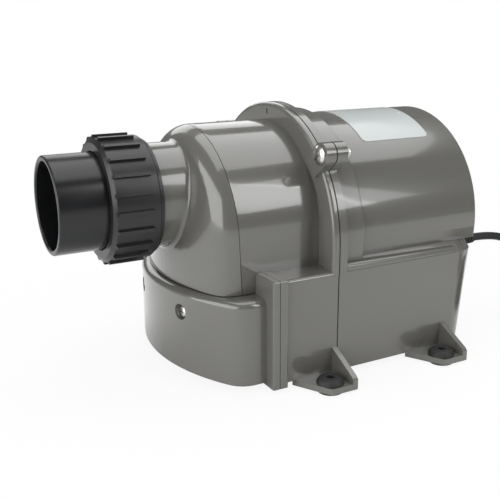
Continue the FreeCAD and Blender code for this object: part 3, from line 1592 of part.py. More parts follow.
def make_supply_plug():
    """Straight moulded plug: tapering relief, rounded body, two flat blades and a round earth pin."""
    body_x0 = plug_relief_length
    body_x1 = body_x0 + plug_body_length
    relief = turned([(0, 0), (body_x0 + past, 0), (body_x0 + past, plug_relief_root), (0, plug_relief_tip)], 0)
    body = box(body_x0, body_x1, -plug_width / 2, plug_width / 2, -plug_height / 2, plug_height / 2)
    body = round_edges(body, plug_corner, lambda c, e: abs(c.x - body_x1) > 0.01)
    blades = [box(body_x1 - blade_root, body_x1 + blade_length, y - blade_thick / 2, y + blade_thick / 2,
                  blade_rise - blade_width / 2, blade_rise + blade_width / 2)
              for y in (-blade_spacing / 2, blade_spacing / 2)]
    earth = rod_x(earth_radius, body_x1 - blade_root, body_x1 + earth_length, 0, -earth_drop)
    plug = fused([body, relief, earth] + blades)
    heading = Vector(*plug_tip) - Vector(*tail_corners[-1])
    plug.rotate(Vector(0, 0, 0), Vector(0, 0, 1), math.degrees(math.atan2(heading.y, heading.x)))
    plug.translate(Vector(*plug_tip))
    return plug


os.makedirs("parts", exist_ok=True)

save("front_housing", make_front_housing())
save("outlet_cap", make_outlet_cap())
save("front_tray", make_front_tray())
cover_shell, base_shell = rear_pieces()
save("rear_cover", make_rear_cover(cover_shell))
save("rear_base", make_rear_base(base_shell))
save("duct_baffle", make_duct_baffle())
save("nose_ring", make_nose_ring())
save("flange_gasket", make_flange_gasket())
save("cap_seal", make_cap_seal())
save("motor_carrier", make_motor_carrier())
save("fan_mount_ring", make_fan_mount_ring())
save("nose_boot", make_nose_boot())
save("fan_case", make_fan_case())
save("fan_bracket", make_fan_bracket())
save("diffuser", make_diffuser())
save("stator_core", make_stator_core())
save("field_coils", make_field_coils())
save("nose_bracket", make_nose_bracket())
save("brush_holders", make_brush_holders())
save("brush_top", make_brush(1))
save("brush_bottom", make_brush(-1))
save("spring_top", make_brush_spring(1))
save("spring_bottom", make_brush_spring(-1))
save("bearing_fan_end", make_bearing(bearing_front_x()))
save("bearing_nose_end", make_bearing(nose_bearing_front_x()))
save("motor_bolts", make_motor_bolts())
save("thermal_cutout", make_thermal_cutout())
save("rotor_shaft", make_shaft())
save("armature_core", make_armature_core())
save("armature_winding", make_armature_winding())
save("commutator", make_commutator())
save("impeller_first", make_impeller(first_wheel_x()))
save("impeller_second", make_impeller(second_wheel_x()))
save("shaft_spacer", make_shaft_spacer())
save("bearing_spacer", make_bearing_spacer())
save("impeller_nut", make_impeller_nut())
save("union_collar", make_union_collar())
save("union_o_ring", make_union_o_ring())
save("tail_piece", make_tail_piece())
save("union_nut", make_union_nut())
save("foot_grommets", make_grommets())
save("flange_screws", make_flange_screws())
save("flange_nuts", make_flange_nuts())
save("tray_screws", make_tray_screws())
save("base_screws", make_base_screws())
save("cover_screws", make_cover_screws())
save("intake_grille", make_intake_grille())
save("foam_filter", make_foam_filter())
save("silencer_foam", make_silencer_foam())
save("rating_label", make_label())
save("terminal_block", make_terminal_block())
save("capacitor", make_capacitor())
save("cord_gland", make_cord_gland())
save("power_cord", make_power_cord())
save("cord_coil", make_cord_coil())
save("cord_tail", make_cord_tail())
save("supply_plug", make_supply_plug())
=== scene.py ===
import bpy
import bmesh
import math
from mathutils import Matrix, Vector


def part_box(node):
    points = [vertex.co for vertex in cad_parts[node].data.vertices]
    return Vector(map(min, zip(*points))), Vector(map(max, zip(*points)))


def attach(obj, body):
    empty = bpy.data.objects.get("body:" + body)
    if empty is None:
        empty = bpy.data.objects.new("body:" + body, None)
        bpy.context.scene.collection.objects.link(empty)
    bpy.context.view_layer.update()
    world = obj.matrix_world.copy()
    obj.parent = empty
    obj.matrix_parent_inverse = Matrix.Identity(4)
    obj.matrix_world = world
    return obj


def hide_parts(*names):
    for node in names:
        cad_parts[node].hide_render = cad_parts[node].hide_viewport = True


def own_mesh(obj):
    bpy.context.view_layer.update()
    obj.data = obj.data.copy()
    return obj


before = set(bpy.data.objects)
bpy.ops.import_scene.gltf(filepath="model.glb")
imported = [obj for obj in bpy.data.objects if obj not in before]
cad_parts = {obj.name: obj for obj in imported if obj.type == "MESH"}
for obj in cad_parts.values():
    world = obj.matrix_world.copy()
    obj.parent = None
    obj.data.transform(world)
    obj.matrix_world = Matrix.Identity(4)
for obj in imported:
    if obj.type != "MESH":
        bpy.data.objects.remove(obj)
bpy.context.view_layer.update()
print("frame loaded:", len(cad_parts), "nodes")

view = {
    "place": (-0.2689, -0.5018, 0.2365),
    "target": (0.00014, 0.0, 0.07479),
    "roll": math.radians(-0.46),
    "lens": 54.44,
    "sensor": 36,
    "clip": (0.01, 50),
}


def addCamera():
    cameraData = bpy.data.cameras.new("camera")
    cameraData.lens = view["lens"]
    cameraData.sensor_width = view["sensor"]
    cameraData.clip_start, cameraData.clip_end = view["clip"]
    camera = bpy.data.objects.new("camera", cameraData)
    bpy.context.scene.collection.objects.link(camera)
    place = Vector(view["place"])
    aim = (Vector(view["target"]) - place).to_track_quat("-Z", "Y").to_matrix().to_4x4()
    camera.matrix_world = Matrix.Translation(place) @ aim @ Matrix.Rotation(view["roll"], 4, "Z")
    bpy.context.scene.camera = camera


floorLook = {"colour": (0.92, 0.92, 0.92, 1), "rough": 0.8, "size": 9.0, "shown": 0.9, "near": 0.42,
             "away": 0.8}


def addFloor():
    # lit floor that keeps the soft shadow near the blower, and runs out to plain white further away
    bpy.ops.mesh.primitive_plane_add(size=floorLook["size"], location=(0, 0, 0))
    floor = bpy.context.object
    floor.name = "floor"
    material, nodes, links, shader = newFinish("floorPale")
    shader.inputs["Base Color"].default_value = floorLook["colour"]
    shader.inputs["Roughness"].default_value = floorLook["rough"]
    glow = nodes.new("ShaderNodeEmission")
    place = nodes.new("ShaderNodeTexCoord")
    reach = nodes.new("ShaderNodeVectorMath")
    reach.operation = "LENGTH"
    links.new(place.outputs["Object"], reach.inputs[0])
    share = addRange(nodes, links, reach.outputs["Value"], floorLook["shown"], 1,
                     floorLook["near"], floorLook["away"])
    path = nodes.new("ShaderNodeLightPath")
    seen = nodes.new("ShaderNodeMath")
    seen.operation = "MULTIPLY"
    links.new(path.outputs["Is Camera Ray"], seen.inputs[0])
    links.new(share, seen.inputs[1])
    mix = nodes.new("ShaderNodeMixShader")
    links.new(seen.outputs[0], mix.inputs[0])
    links.new(shader.outputs[0], mix.inputs[1])
    links.new(glow.outputs[0], mix.inputs[2])
    links.new(mix.outputs[0], nodes["Material Output"].inputs["Surface"])
    floor.data.materials.append(material)


worldLook = {"colour": (1, 1, 1, 1), "ambient": 0.16, "seen": 1.0}


def setWorld():
    world = bpy.data.worlds.new("studio")
    bpy.context.scene.world = world
    world.use_nodes = True
    nodes, links = world.node_tree.nodes, world.node_tree.links
    ambient = nodes["Background"]
    ambient.inputs["Color"].default_value = worldLook["colour"]
    ambient.inputs["Strength"].default_value = worldLook["ambient"]
    seen = nodes.new("ShaderNodeBackground")
    seen.inputs["Color"].default_value = worldLook["colour"]
    seen.inputs["Strength"].default_value = worldLook["seen"]
    path = nodes.new("ShaderNodeLightPath")
    mix = nodes.new("ShaderNodeMixShader")
    links.new(path.outputs["Is Camera Ray"], mix.inputs[0])
    links.new(ambient.outputs[0], mix.inputs[1])
    links.new(seen.outputs[0], mix.inputs[2])
    links.new(mix.outputs[0], nodes["World Output"].inputs["Surface"])


# each softbox: centre, point it faces, direction of its long side, size, and brightness
lamps = [
    {"name": "sideSoftbox", "place": (0.66, -1.2, 0.93), "aim": (0.5, 0, 0.48), "along": (0.93, 0, 0.37),
     "size": (0.42, 1.0), "glow": 4.8},
    {"name": "sideFill", "place": (0.97, -1.2, 0.96), "aim": (0.81, 0, 0.5), "along": (0.93, 0, 0.37),
     "size": (0.2, 0.8), "glow": 2.6},
    {"name": "ceilingSoftbox", "place": (0.45, 0.2, 1.7), "aim": (0.45, 0.2, 0), "along": (1, 0, 0),
     "size": (2.1, 1.8), "glow": 2.1},
    {"name": "frontSoftbox", "place": (-1.7, -0.3, 0.6), "aim": (-0.05, 0, 0.1), "along": (0, 1, 0),
     "size": (2.4, 1.3), "glow": 3.0},
    {"name": "farSoftbox", "place": (0.3, 1.6, 0.9), "aim": (0, 0, 0.1), "along": (1, 0, 0),
     "size": (1.4, 0.8), "glow": 1.4},
]


def addLamps():
    for lamp in lamps:
        data = bpy.data.lights.new(lamp["name"], "AREA")
        data.shape = "RECTANGLE"
        data.size, data.size_y = lamp["size"]
        data.energy = lamp["glow"] * math.pi * lamp["size"][0] * lamp["size"][1]
        thing = bpy.data.objects.new(lamp["name"], data)
        bpy.context.scene.collection.objects.link(thing)
        back = (Vector(lamp["place"]) - Vector(lamp["aim"])).normalized()
        along = Vector(lamp["along"])
        along = (along - back * along.dot(back)).normalized()
        turn = Matrix((along, back.cross(along), back)).transposed().to_4x4()
        thing.matrix_world = Matrix.Translation(lamp["place"]) @ turn


def newFinish(name):
    material = bpy.data.materials.new(name)
    material.use_nodes = True
    nodes = material.node_tree.nodes
    return material, nodes, material.node_tree.links, nodes["Principled BSDF"]


def addNoise(nodes, links, scale, detail, stretch=(1, 1, 1)):
    place = nodes.new("ShaderNodeTexCoord")
    mapping = nodes.new("ShaderNodeMapping")
    mapping.inputs["Scale"].default_value = stretch
    noise = nodes.new("ShaderNodeTexNoise")
    noise.inputs["Scale"].default_value = scale
    noise.inputs["Detail"].default_value = detail
    links.new(place.outputs["Object"], mapping.inputs["Vector"])
    links.new(mapping.outputs["Vector"], noise.inputs["Vector"])
    return noise.outputs["Fac"]


def addRange(nodes, links, source, low, high, fromLow=0.3, fromHigh=0.7):
    spread = nodes.new("ShaderNodeMapRange")
    spread.inputs["From Min"].default_value = fromLow
    spread.inputs["From Max"].default_value = fromHigh
    spread.inputs["To Min"].default_value = low
    spread.inputs["To Max"].default_value = high
    links.new(source, spread.inputs["Value"])
    return spread.outputs["Result"]


def addShades(nodes, links, source, stops):
    ramp = nodes.new("ShaderNodeValToRGB")
    steps = ramp.color_ramp.elements
    steps[0].position, steps[0].color = stops[0]
    steps[1].position, steps[1].color = stops[-1]
    for position, colour in stops[1:-1]:
        steps.new(position).color = colour
    links.new(source, ramp.inputs["Fac"])
    return ramp.outputs["Color"]


def shade(colour, amount):
    return tuple(min(1.0, part * amount) for part in colour) + (1.0,)


def addBump(nodes, links, height, distance, strength):
    bump = nodes.new("ShaderNodeBump")
    bump.inputs["Distance"].default_value = distance
    bump.inputs["Strength"].default_value = strength
    links.new(height, bump.inputs["Height"])
    return bump.outputs["Normal"]


# what a finish has where it says nothing else
plainFinish = {"cloud": 14, "cloudDetail": 5, "spread": 0.06, "shadeStops": (0.25, 0.55, 0.8), "grain": 900,
               "grainDetail": 3, "stretch": (1, 1, 1), "grainDepth": 0.00004, "grainStrength": 0.35,
               "metal": 0.0, "coat": 0.0, "coatRough": 0.1}


def makeFinish(name, own):
    # a cloud of slightly darker and lighter shades, and fine grain in the surface
    look = {**plainFinish, **own}
    material, nodes, links, shader = newFinish(name)
    cloud = addNoise(nodes, links, look["cloud"], look["cloudDetail"])
    spread = look["spread"]
    colour = look["colour"]
    dark, middle, pale = look["shadeStops"]
    shades = addShades(nodes, links, cloud, [(dark, shade(colour, 1 - spread)), (middle, shade(colour, 1)),
                                             (pale, shade(colour, 1 + spread))])
    links.new(shades, shader.inputs["Base Color"])
    grain = addNoise(nodes, links, look["grain"], look["grainDetail"], look["stretch"])
    low, high = look["rough"]
    links.new(addRange(nodes, links, cloud, low, high), shader.inputs["Roughness"])
    normal = addBump(nodes, links, grain, look["grainDepth"], look["grainStrength"])
    links.new(normal, shader.inputs["Normal"])
    shader.inputs["Metallic"].default_value = look["metal"]
    shader.inputs["Coat Weight"].default_value = look["coat"]
    shader.inputs["Coat Roughness"].default_value = look["coatRough"]
    material.diffuse_color = shade(colour, 1)
    return material


addCamera()
addFloor()
setWorld()
addLamps()
bpy.context.scene.view_settings.view_transform = "Standard"
print("camera, floor and lights")

finishes = {
    "bodyGrey": {"colour": (0.128, 0.126, 0.115), "spread": 0.03, "cloud": 9, "rough": (0.2, 0.27),
                 "grain": 500, "grainDepth": 0.00002, "grainStrength": 0.08, "coat": 1.0,
                 "coatRough": 0.07},
    "unionBlack": {"colour": (0.016, 0.016, 0.017), "spread": 0.15, "cloud": 40, "rough": (0.26, 0.36),
                   "grain": 1300, "grainDepth": 0.00003, "grainStrength": 0.2},
    "tailBlack": {"colour": (0.008, 0.0085, 0.0095), "spread": 0.15, "cloud": 30, "rough": (0.2, 0.28),
                  "grain": 900, "grainStrength": 0.1},
    "rubberBlack": {"colour": (0.02, 0.02, 0.021), "spread": 0.2, "cloud": 60, "rough": (0.5, 0.68),
                    "grain": 1600, "grainDepth": 0.00008},
    "gasketDark": {"colour": (0.03, 0.03, 0.028), "spread": 0.2, "cloud": 60, "rough": (0.6, 0.75),
                   "grain": 1600},
    "sheathBlack": {"colour": (0.017, 0.017, 0.0175), "spread": 0.12, "cloud": 25, "rough": (0.36, 0.46),
                    "grain": 1500, "grainDepth": 0.00004},
    "screwChrome": {"colour": (0.72, 0.71, 0.69), "spread": 0.05, "cloud": 90, "rough": (0.14, 0.26),
                    "metal": 1.0, "grain": 1800, "grainDepth": 0.00002},
    "turnedSteel": {"colour": (0.5, 0.5, 0.49), "spread": 0.08, "cloud": 50, "rough": (0.24, 0.36),
                    "metal": 1.0, "grain": 600, "stretch": (6, 1, 1), "grainDepth": 0.00003},
    "lamination": {"colour": (0.26, 0.26, 0.27), "spread": 0.2, "cloud": 60, "rough": (0.35, 0.5),
                   "metal": 1.0, "grain": 300, "stretch": (9, 0.4, 0.4), "grainDepth": 0.0001},
    "pressedAlloy": {"colour": (0.66, 0.67, 0.68), "spread": 0.06, "cloud": 30, "rough": (0.25, 0.38),
                     "metal": 1.0, "grain": 500},
    "castAlloy": {"colour": (0.42, 0.43, 0.44), "spread": 0.12, "cloud": 80, "rough": (0.45, 0.6),
                  "metal": 1.0, "grain": 900, "grainDepth": 0.0001},
    "copperWire": {"colour": (0.55, 0.20, 0.09), "spread": 0.18, "cloud": 90, "rough": (0.3, 0.45),
                   "metal": 1.0, "grain": 420, "stretch": (0.4, 4, 4), "grainDepth": 0.0002},
    "drawnBrass": {"colour": (0.66, 0.48, 0.19), "spread": 0.1, "cloud": 70, "rough": (0.25, 0.4),
                   "metal": 1.0, "grain": 800},
    "pressedCarbon": {"colour": (0.028, 0.028, 0.03), "spread": 0.25, "cloud": 90, "rough": (0.45, 0.6),
                      "grain": 1400, "grainDepth": 0.00008},
    "labelFilm": {"colour": (0.54, 0.58, 0.575), "spread": 0.02, "cloud": 18, "rough": (0.22, 0.32),
                  "grain": 600, "grainDepth": 0.00002, "coat": 0.25},
    "blockWhite": {"colour": (0.60, 0.58, 0.53), "spread": 0.05, "cloud": 30, "rough": (0.35, 0.5),
                   "grain": 900},
    "caseBlack": {"colour": (0.02, 0.02, 0.021), "spread": 0.15, "cloud": 30, "rough": (0.25, 0.4),
                  "grain": 900},
}


# cell shades: the pits are painted dark as shade and the walls are paler
foam = {"cells": 420, "shades": [(0.1, 0.02), (0.45, 0.07), (0.7, 0.12)], "depth": 0.0012, "strength": 0.8,
        "rough": 0.95}


def makeFoam(name):
    # open cells: painted shade darkens the pits, which the bump also sinks, between pale walls
    material, nodes, links, shader = newFinish(name)
    place = nodes.new("ShaderNodeTexCoord")
    cells = nodes.new("ShaderNodeTexVoronoi")
    cells.inputs["Scale"].default_value = foam["cells"]
    links.new(place.outputs["Object"], cells.inputs["Vector"])
    stops = [(spot, (value, value, value, 1)) for spot, value in foam["shades"]]
    shades = addShades(nodes, links, cells.outputs["Distance"], stops)
    links.new(shades, shader.inputs["Base Color"])
    normal = addBump(nodes, links, cells.outputs["Distance"], foam["depth"], foam["strength"])
    links.new(normal, shader.inputs["Normal"])
    shader.inputs["Roughness"].default_value = foam["rough"]
    return material


looks = {name: makeFinish(name, look) for name, look in finishes.items()}
looks["foamGrey"] = makeFoam("foamGrey")
print("finishes:", len(looks))

nodeLooks = {
    "bodyGrey": ["front_housing", "outlet_cap", "front_tray", "rear_cover", "rear_base", "intake_grille"],
    "gasketDark": ["flange_gasket", "cap_seal"],
    "unionBlack": ["union_nut", "union_collar", "motor_carrier", "duct_baffle", "nose_ring"],
    "tailBlack": ["tail_piece"],
    "rubberBlack": ["fan_mount_ring", "nose_boot", "union_o_ring", "foot_grommets", "cord_gland"],
    "screwChrome": ["flange_screws", "flange_nuts", "tray_screws"],
    "turnedSteel": ["base_screws", "cover_screws", "motor_bolts", "spring_top", "spring_bottom",
                    "bearing_fan_end", "bearing_nose_end", "rotor_shaft", "shaft_spacer", "bearing_spacer",
                    "impeller_nut"],
    "lamination": ["stator_core", "armature_core"],
    "pressedAlloy": ["fan_case", "diffuser", "impeller_first", "impeller_second"],
    "castAlloy": ["fan_bracket", "nose_bracket"],
    "copperWire": ["field_coils", "armature_winding", "commutator"],
    "drawnBrass": ["brush_holders"],
    "pressedCarbon": ["brush_top", "brush_bottom"],
    "foamGrey": ["foam_filter", "silencer_foam"],
    "labelFilm": ["rating_label"],
    "blockWhite": ["terminal_block"],
    "caseBlack": ["thermal_cutout", "capacitor"],
    "sheathBlack": ["power_cord", "cord_coil", "cord_tail", "supply_plug"],
}

for look, names in nodeLooks.items():
    for name in names:
        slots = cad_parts[name].data.materials
        slots.clear()
        slots.append(looks[look])
print("finishes given to the solids")


def selectOnly(piece):
    if bpy.context.mode != "OBJECT":
        bpy.ops.object.mode_set(mode="OBJECT")
    bpy.ops.object.select_all(action="DESELECT")
    piece.select_set(True)
    bpy.context.view_layer.objects.active = piece


def applyAll(piece):
    selectOnly(piece)
    for modifier in list(piece.modifiers):
        bpy.ops.object.modifier_apply(modifier=modifier.name)


# moulded pieces whose sharp edges get the small round that a mould leaves
moulded = {
    "frontHousing": {"node": "front_housing", "round": 0.0005},
    "outletCap": {"node": "outlet_cap", "round": 0.0004},
    "frontTray": {"node": "front_tray", "round": 0.0005},
    "rearCover": {"node": "rear_cover", "round": 0.0005},
    "rearBase": {"node": "rear_base", "round": 0.0006},
    "unionNut": {"node": "union_nut", "round": 0.0004, "body": "nut"},
    "unionCollar": {"node": "union_collar", "round": 0.0003},
    "tailPiece": {"node": "tail_piece", "round": 0.0004, "body": "tail"},
    "footGrommets": {"node": "foot_grommets", "round": 0.0004},
    "cordGland": {"node": "cord_gland", "round": 0.0003},
    "supplyPlug": {"node": "supply_plug", "round": 0.0004},
}
sharpTurn = math.radians(30)
weld = {"reach": 0.000005, "flat": math.radians(0.5)}
squarely = 0.9              # how closely a chosen face looks along an axis


def weldedCopy(name, node):
    # a copy of a solid's mesh, with its loose triangles joined and its flat faces whole
    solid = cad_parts[node]
    piece = bpy.data.objects.new(name, solid.data.copy())
    bpy.context.scene.collection.objects.link(piece)
    selectOnly(piece)
    bpy.ops.mesh.customdata_custom_splitnormals_clear()
    bpy.ops.object.mode_set(mode="EDIT")
    bpy.ops.mesh.select_all(action="SELECT")
    bpy.ops.mesh.remove_doubles(threshold=weld["reach"])
    bpy.ops.mesh.dissolve_limited(angle_limit=weld["flat"])
    bpy.ops.object.mode_set(mode="OBJECT")
    return piece


def softenEdges(piece, width):
    selectOnly(piece)
    bpy.ops.object.shade_smooth_by_angle(angle=sharpTurn)
    bevel = piece.modifiers.new("edgeRound", "BEVEL")
    bevel.width = width
    bevel.segments = 2
    bevel.limit_method = "ANGLE"
    bevel.angle_limit = sharpTurn
    bevel.miter_outer = "MITER_ARC"
    level = piece.modifiers.new("levelNormals", "WEIGHTED_NORMAL")
    level.keep_sharp = True
    applyAll(piece)


def cutAway(piece, name, place, size):
    # takes a block out of the piece
    bpy.ops.mesh.primitive_cube_add(size=1, location=place, scale=size)
    cutter = bpy.context.object
    cut = piece.modifiers.new(name, "BOOLEAN")
    cut.operation = "DIFFERENCE"
    cut.object = cutter
    applyAll(piece)
    bpy.data.objects.remove(cutter)


def editFaces(piece, chosen):
    # opens the piece in edit mode with the chosen faces selected
    selectOnly(piece)
    bpy.ops.object.mode_set(mode="EDIT")
    bpy.ops.mesh.select_mode(type="FACE")
    bpy.ops.mesh.select_all(action="DESELECT")
    mesh = bmesh.from_edit_mesh(piece.data)
    for face in mesh.faces:
        face.select_set(chosen(face))
    bmesh.update_edit_mesh(piece.data)


def editEdges(piece, chosen):
    # the same for edges, chosen by the place of their middle
    editFaces(piece, lambda face: False)
    bpy.ops.mesh.select_mode(type="EDGE")
    mesh = bmesh.from_edit_mesh(piece.data)
    for edge in mesh.edges:
        edge.select_set(chosen((edge.verts[0].co + edge.verts[1].co) / 2))
    bmesh.update_edit_mesh(piece.data)


def cutAcross(piece, spots):
    # cuts the piece across its length, without parting it
    selectOnly(piece)
    bpy.ops.object.mode_set(mode="EDIT")
    for spot in spots:
        bpy.ops.mesh.select_all(action="SELECT")
        bpy.ops.mesh.bisect(plane_co=(spot, 0, 0), plane_no=(1, 0, 0))
    bpy.ops.object.mode_set(mode="OBJECT")


gland = {"first": 0.1575, "step": 0.0032, "wide": 0.0016, "count": 6, "deep": 0.0007, "endOn": 0.7}


def grooveGland(piece):
    # rings sunk round the strain relief, so that it bends evenly
    starts = [gland["first"] + i * gland["step"] for i in range(gland["count"])]
    cutAcross(piece, [x + side for x in starts for side in (0, gland["wide"])])
    for start in starts:
        editFaces(piece, lambda face: start < face.calc_center_median().x < start + gland["wide"]
                  and abs(face.normal.x) < gland["endOn"])
        bpy.ops.mesh.extrude_region_shrink_fatten(TRANSFORM_OT_shrink_fatten={"value": -gland["deep"]})
        bpy.ops.object.mode_set(mode="OBJECT")


thread = {"start": -0.111, "turns": 5, "pitch": 0.004, "root": 0.0390, "crest": 0.04012, "sink": 0.0386,
          "foot": 0.0024, "flat": 0.0008, "steps": 72, "collarSet": 0.00008, "collarBand": 0.0003}


def unionAxisZ():
    low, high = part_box("tail_piece")
    return (low.z + high.z) / 2


def turnDownCollar(piece):
    # takes the threaded stretch of the collar down to the root of its thread
    axis = Vector((0, 0, unionAxisZ()))
    selectOnly(piece)
    bpy.ops.object.mode_set(mode="EDIT")
    bpy.ops.mesh.select_mode(type="VERT")
    bpy.ops.mesh.select_all(action="DESELECT")
    mesh = bmesh.from_edit_mesh(piece.data)
    for spot in mesh.verts:
        out = math.hypot(spot.co.y - axis.y, spot.co.z - axis.z)
        spot.select_set(thread["crest"] < out < thread["crest"] + thread["collarBand"])
    mesh.select_flush_mode()
    bmesh.update_edit_mesh(piece.data)
    share = thread["root"] / (thread["crest"] + thread["collarSet"])
    bpy.ops.transform.resize(value=(1, share, share), center_override=axis)
    bpy.ops.object.mode_set(mode="OBJECT")


plug = {"bladeStart": -0.2298}


def dressPlug(piece):
    # blades and earth pin in brass, body in the sheath's black
    piece.data.materials.append(looks["drawnBrass"])
    for face in piece.data.polygons:
        face.material_index = 1 if face.center.y < plug["bladeStart"] else 0


slit = {"size": (0.007, 0.0015, 0.004), "place": (0.0160, 0.0, 0.1816)}


def cutSlit(piece):
    # narrow blind slit in the front face of the flange, at its top
    cutAway(piece, "slit", slit["place"], slit["size"])


workedFirst = {"cordGland": grooveGland, "unionCollar": turnDownCollar, "supplyPlug": dressPlug,
               "frontHousing": cutSlit}


def addMoulded(name, look):
    piece = weldedCopy(name, look["node"])
    if name in workedFirst:
        workedFirst[name](piece)
    softenEdges(piece, look["round"])
    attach(piece, look.get("body", "casing"))
    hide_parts(look["node"])
    return piece


mouldings = {name: addMoulded(name, look) for name, look in moulded.items()}
print("mouldings with rounded edges:", len(mouldings))


def newPiece(name, look):
    # names the primitive just added, gives it its finish, and keeps its place in its mesh
    piece = bpy.context.object
    piece.name = name
    bpy.ops.object.transform_apply(location=True, rotation=True, scale=True)
    piece.data.materials.append(looks[look])
    return piece


def addThread():
    # one helical ridge on the collar: a trapezium turned about the union's axis
    bpy.ops.mesh.primitive_plane_add(size=1, location=(0, 0, 0))
    piece = newPiece("collarThread", "unionBlack")
    corners = [(0, thread["sink"]), (thread["foot"], thread["sink"]),
               (thread["foot"] / 2 + thread["flat"] / 2, thread["crest"]),
               (thread["foot"] / 2 - thread["flat"] / 2, thread["crest"])]
    order = piece.data.polygons[0].vertices[:]
    for index, (along, out) in zip(order, corners):
        piece.data.vertices[index].co = (thread["start"] + along, 0, out)
    selectOnly(piece)
    bpy.ops.object.mode_set(mode="EDIT")
    bpy.ops.mesh.select_all(action="SELECT")
    bpy.ops.mesh.delete(type="ONLY_FACE")
    bpy.ops.object.mode_set(mode="OBJECT")
    turn = piece.modifiers.new("turn", "SCREW")
    turn.axis = "X"
    turn.screw_offset = thread["pitch"]
    turn.iterations = thread["turns"]
    turn.steps = turn.render_steps = thread["steps"]
    turn.use_merge_vertices = False
    applyAll(piece)
    bpy.ops.object.mode_set(mode="EDIT")
    bpy.ops.mesh.select_mode(type="EDGE")
    bpy.ops.mesh.select_all(action="DESELECT")
    bpy.ops.mesh.select_non_manifold()
    bpy.ops.mesh.edge_face_add()
    bpy.ops.mesh.select_all(action="SELECT")
    bpy.ops.mesh.normals_make_consistent(inside=False)
    bpy.ops.transform.translate(value=(0, 0, unionAxisZ()))
    bpy.ops.object.mode_set(mode="OBJECT")
    bpy.ops.object.shade_smooth_by_angle(angle=sharpTurn)
    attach(piece, "casing")


ledge = {"front": 0.0275, "rear": 0.128, "outer": 0.09175, "wide": 0.0106, "low": 0.07775, "high": 0.0832,
         "rearShare": 0.7, "round": 0.003, "roundSteps": 6, "foot": 0.0004}


def addLedgeBead(name, side):
    # raised bead along the outer edge of the shoulder, thinner towards the rear
    middle = ((ledge["front"] + ledge["rear"]) / 2, side * (ledge["outer"] - ledge["wide"] / 2),
              (ledge["low"] + ledge["high"]) / 2)
    size = (ledge["rear"] - ledge["front"], ledge["wide"], ledge["high"] - ledge["low"])
    bpy.ops.mesh.primitive_cube_add(size=1, location=middle, scale=size)
    piece = newPiece(name, "bodyGrey")
    editFaces(piece, lambda face: face.normal.x > squarely)
    share = ledge["rearShare"]
    foot = (ledge["rear"], side * ledge["outer"], ledge["low"])
    bpy.ops.transform.resize(value=(1, share, share), center_override=foot)
    editEdges(piece, lambda spot: abs(spot.y) > ledge["outer"] - ledge["foot"]
              and spot.z > ledge["low"] + ledge["foot"] and ledge["front"] < spot.x < ledge["rear"])
    bpy.ops.mesh.bevel(offset=ledge["round"], segments=ledge["roundSteps"])
    bpy.ops.object.mode_set(mode="OBJECT")
    softenEdges(piece, ledge["foot"])
    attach(piece, "casing")


trayScrew = {"head": 0.0046, "shank": 0.0025, "seatSet": 0.0028, "mouthSet": 0.0103, "sides": 48,
             "round": 0.0017, "roundSteps": 5, "edge": 0.0001,
             "slotLong": 0.0052, "slotWide": 0.0011, "slotDeep": 0.0016}


def addTrayScrews():
    # pan-head screws on a long collar, just inside the mouths of the tray's two recesses
    low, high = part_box("tray_screws")
    seat = low.x + trayScrew["seatSet"]
    top = low.x - trayScrew["mouthSet"]
    centreZ = (low.z + high.z) / 2
    slots = ((trayScrew["slotLong"], trayScrew["slotWide"]), (trayScrew["slotWide"], trayScrew["slotLong"]))
    for name, side in (("trayScrewNear", -1), ("trayScrewFar", 1)):
        centreY = side * (high.y - trayScrew["head"])
        bpy.ops.mesh.primitive_cylinder_add(vertices=trayScrew["sides"], radius=trayScrew["head"],
                                            depth=seat - top, rotation=(0, math.pi / 2, 0),
                                            location=((seat + top) / 2, centreY, centreZ))
        piece = newPiece(name, "screwChrome")
        editFaces(piece, lambda face: face.normal.x < -squarely)
        bpy.ops.mesh.bevel(offset=trayScrew["round"], segments=trayScrew["roundSteps"])
        editFaces(piece, lambda face: face.normal.x > squarely)
        bpy.ops.mesh.inset(thickness=trayScrew["head"] - trayScrew["shank"])
        bpy.ops.mesh.extrude_region_move(TRANSFORM_OT_translate={"value": (high.x - seat, 0, 0)})
        bpy.ops.object.mode_set(mode="OBJECT")
        for long, wide in slots:
            cutAway(piece, "slot", (top, centreY, centreZ), (2 * trayScrew["slotDeep"], long, wide))
        softenEdges(piece, trayScrew["edge"])
        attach(piece, "casing")
        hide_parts("tray_screws")


brushSprings = {
    "springTop": {"node": "spring_top", "joint": "upper_brush_slide", "outwards": 1},
    "springBottom": {"node": "spring_bottom", "joint": "lower_brush_slide", "outwards": -1},
}


def addBrushSprings():
    # each spring: a welded copy of its solid, shaded smooth, on a mesh of its own
    for name, spring in brushSprings.items():
        piece = weldedCopy(name, spring["node"])
        selectOnly(piece)
        bpy.ops.object.shade_smooth_by_angle(angle=sharpTurn)
        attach(piece, "casing")
        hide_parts(spring["node"])
        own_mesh(piece)


addThread()
for name, side in (("ledgeBeadNear", -1), ("ledgeBeadFar", 1)):
    addLedgeBead(name, side)
addTrayScrews()
addBrushSprings()
print("thread, ledge beads, tray screws and brush springs")


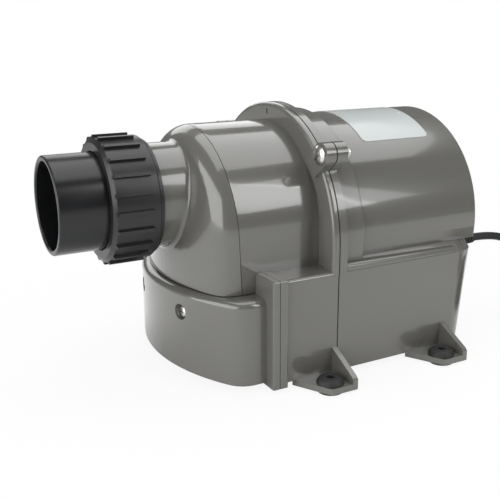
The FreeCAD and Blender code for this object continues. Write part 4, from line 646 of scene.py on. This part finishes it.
# the corners of the cord's route, in metres: gland, fall, coil, and on to the plug
cord = {
    "fall": [(0.1786, -0.055, 0.074), (0.206, -0.055, 0.074), (0.231, -0.0575, 0.0605),
             (0.252, -0.0615, 0.042), (0.2715, -0.0748, 0.029)],
    "tail": [(0.2942, -0.1246, 0.0175), (0.296, -0.1478, 0.012), (0.295, -0.1694, 0.012)],
    "centre": (0.250, -0.110),
    "innerRadius": 0.0314,
    "outerRadius": 0.0378,
    "radius": 0.0032,
    "rise": 0.0065,
    "startAngle": 20,
    "innerSteps": 45,
    "acrossSteps": 4,
    "outerSteps": 35,
    "stepAngle": 25.83,
    "length": 1.50,
    "lift": 0.0001,
    "ringSteps": 6,
    "lineSteps": 8,
    "order": 3,
}


def coilPoints():
    # down the inner column, out to the outer one, and up it, clockwise seen from above
    step = math.radians(cord["stepAngle"])
    rise = cord["rise"] * step / math.tau
    low = cord["radius"] + cord["lift"]
    grow = 1 / math.cos(step / 2) ** 2
    centreX, centreY = cord["centre"]
    inner, across, outer = cord["innerSteps"], cord["acrossSteps"], cord["outerSteps"]
    points = []
    for i in range(inner + across + outer + 1):
        share = min(1, max(0, (i - inner) / across))
        radius = grow * (cord["innerRadius"] + (cord["outerRadius"] - cord["innerRadius"]) * share)
        height = low + rise * max(inner - i, i - inner - across, 0)
        turn = math.radians(cord["startAngle"]) - step * i
        points.append((centreX + radius * math.cos(turn), centreY + radius * math.sin(turn), height))
    return points


def addCord():
    points = cord["fall"] + coilPoints() + cord["tail"]
    curve = bpy.data.curves.new("powerCord", "CURVE")
    curve.dimensions = "3D"
    curve.bevel_depth = cord["radius"]
    curve.bevel_resolution = cord["ringSteps"]
    curve.resolution_u = cord["lineSteps"]
    curve.use_fill_caps = True
    line = curve.splines.new("NURBS")
    line.points.add(len(points) - 1)
    for spot, point in zip(line.points, points):
        spot.co = (*point, 1)
    line.order_u = cord["order"]
    line.use_endpoint_u = True
    curve.materials.append(looks["sheathBlack"])
    piece = bpy.data.objects.new("powerCord", curve)
    bpy.context.scene.collection.objects.link(piece)
    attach(piece, "casing")
    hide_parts("power_cord", "cord_coil", "cord_tail")


addCord()
print("cord and coil")
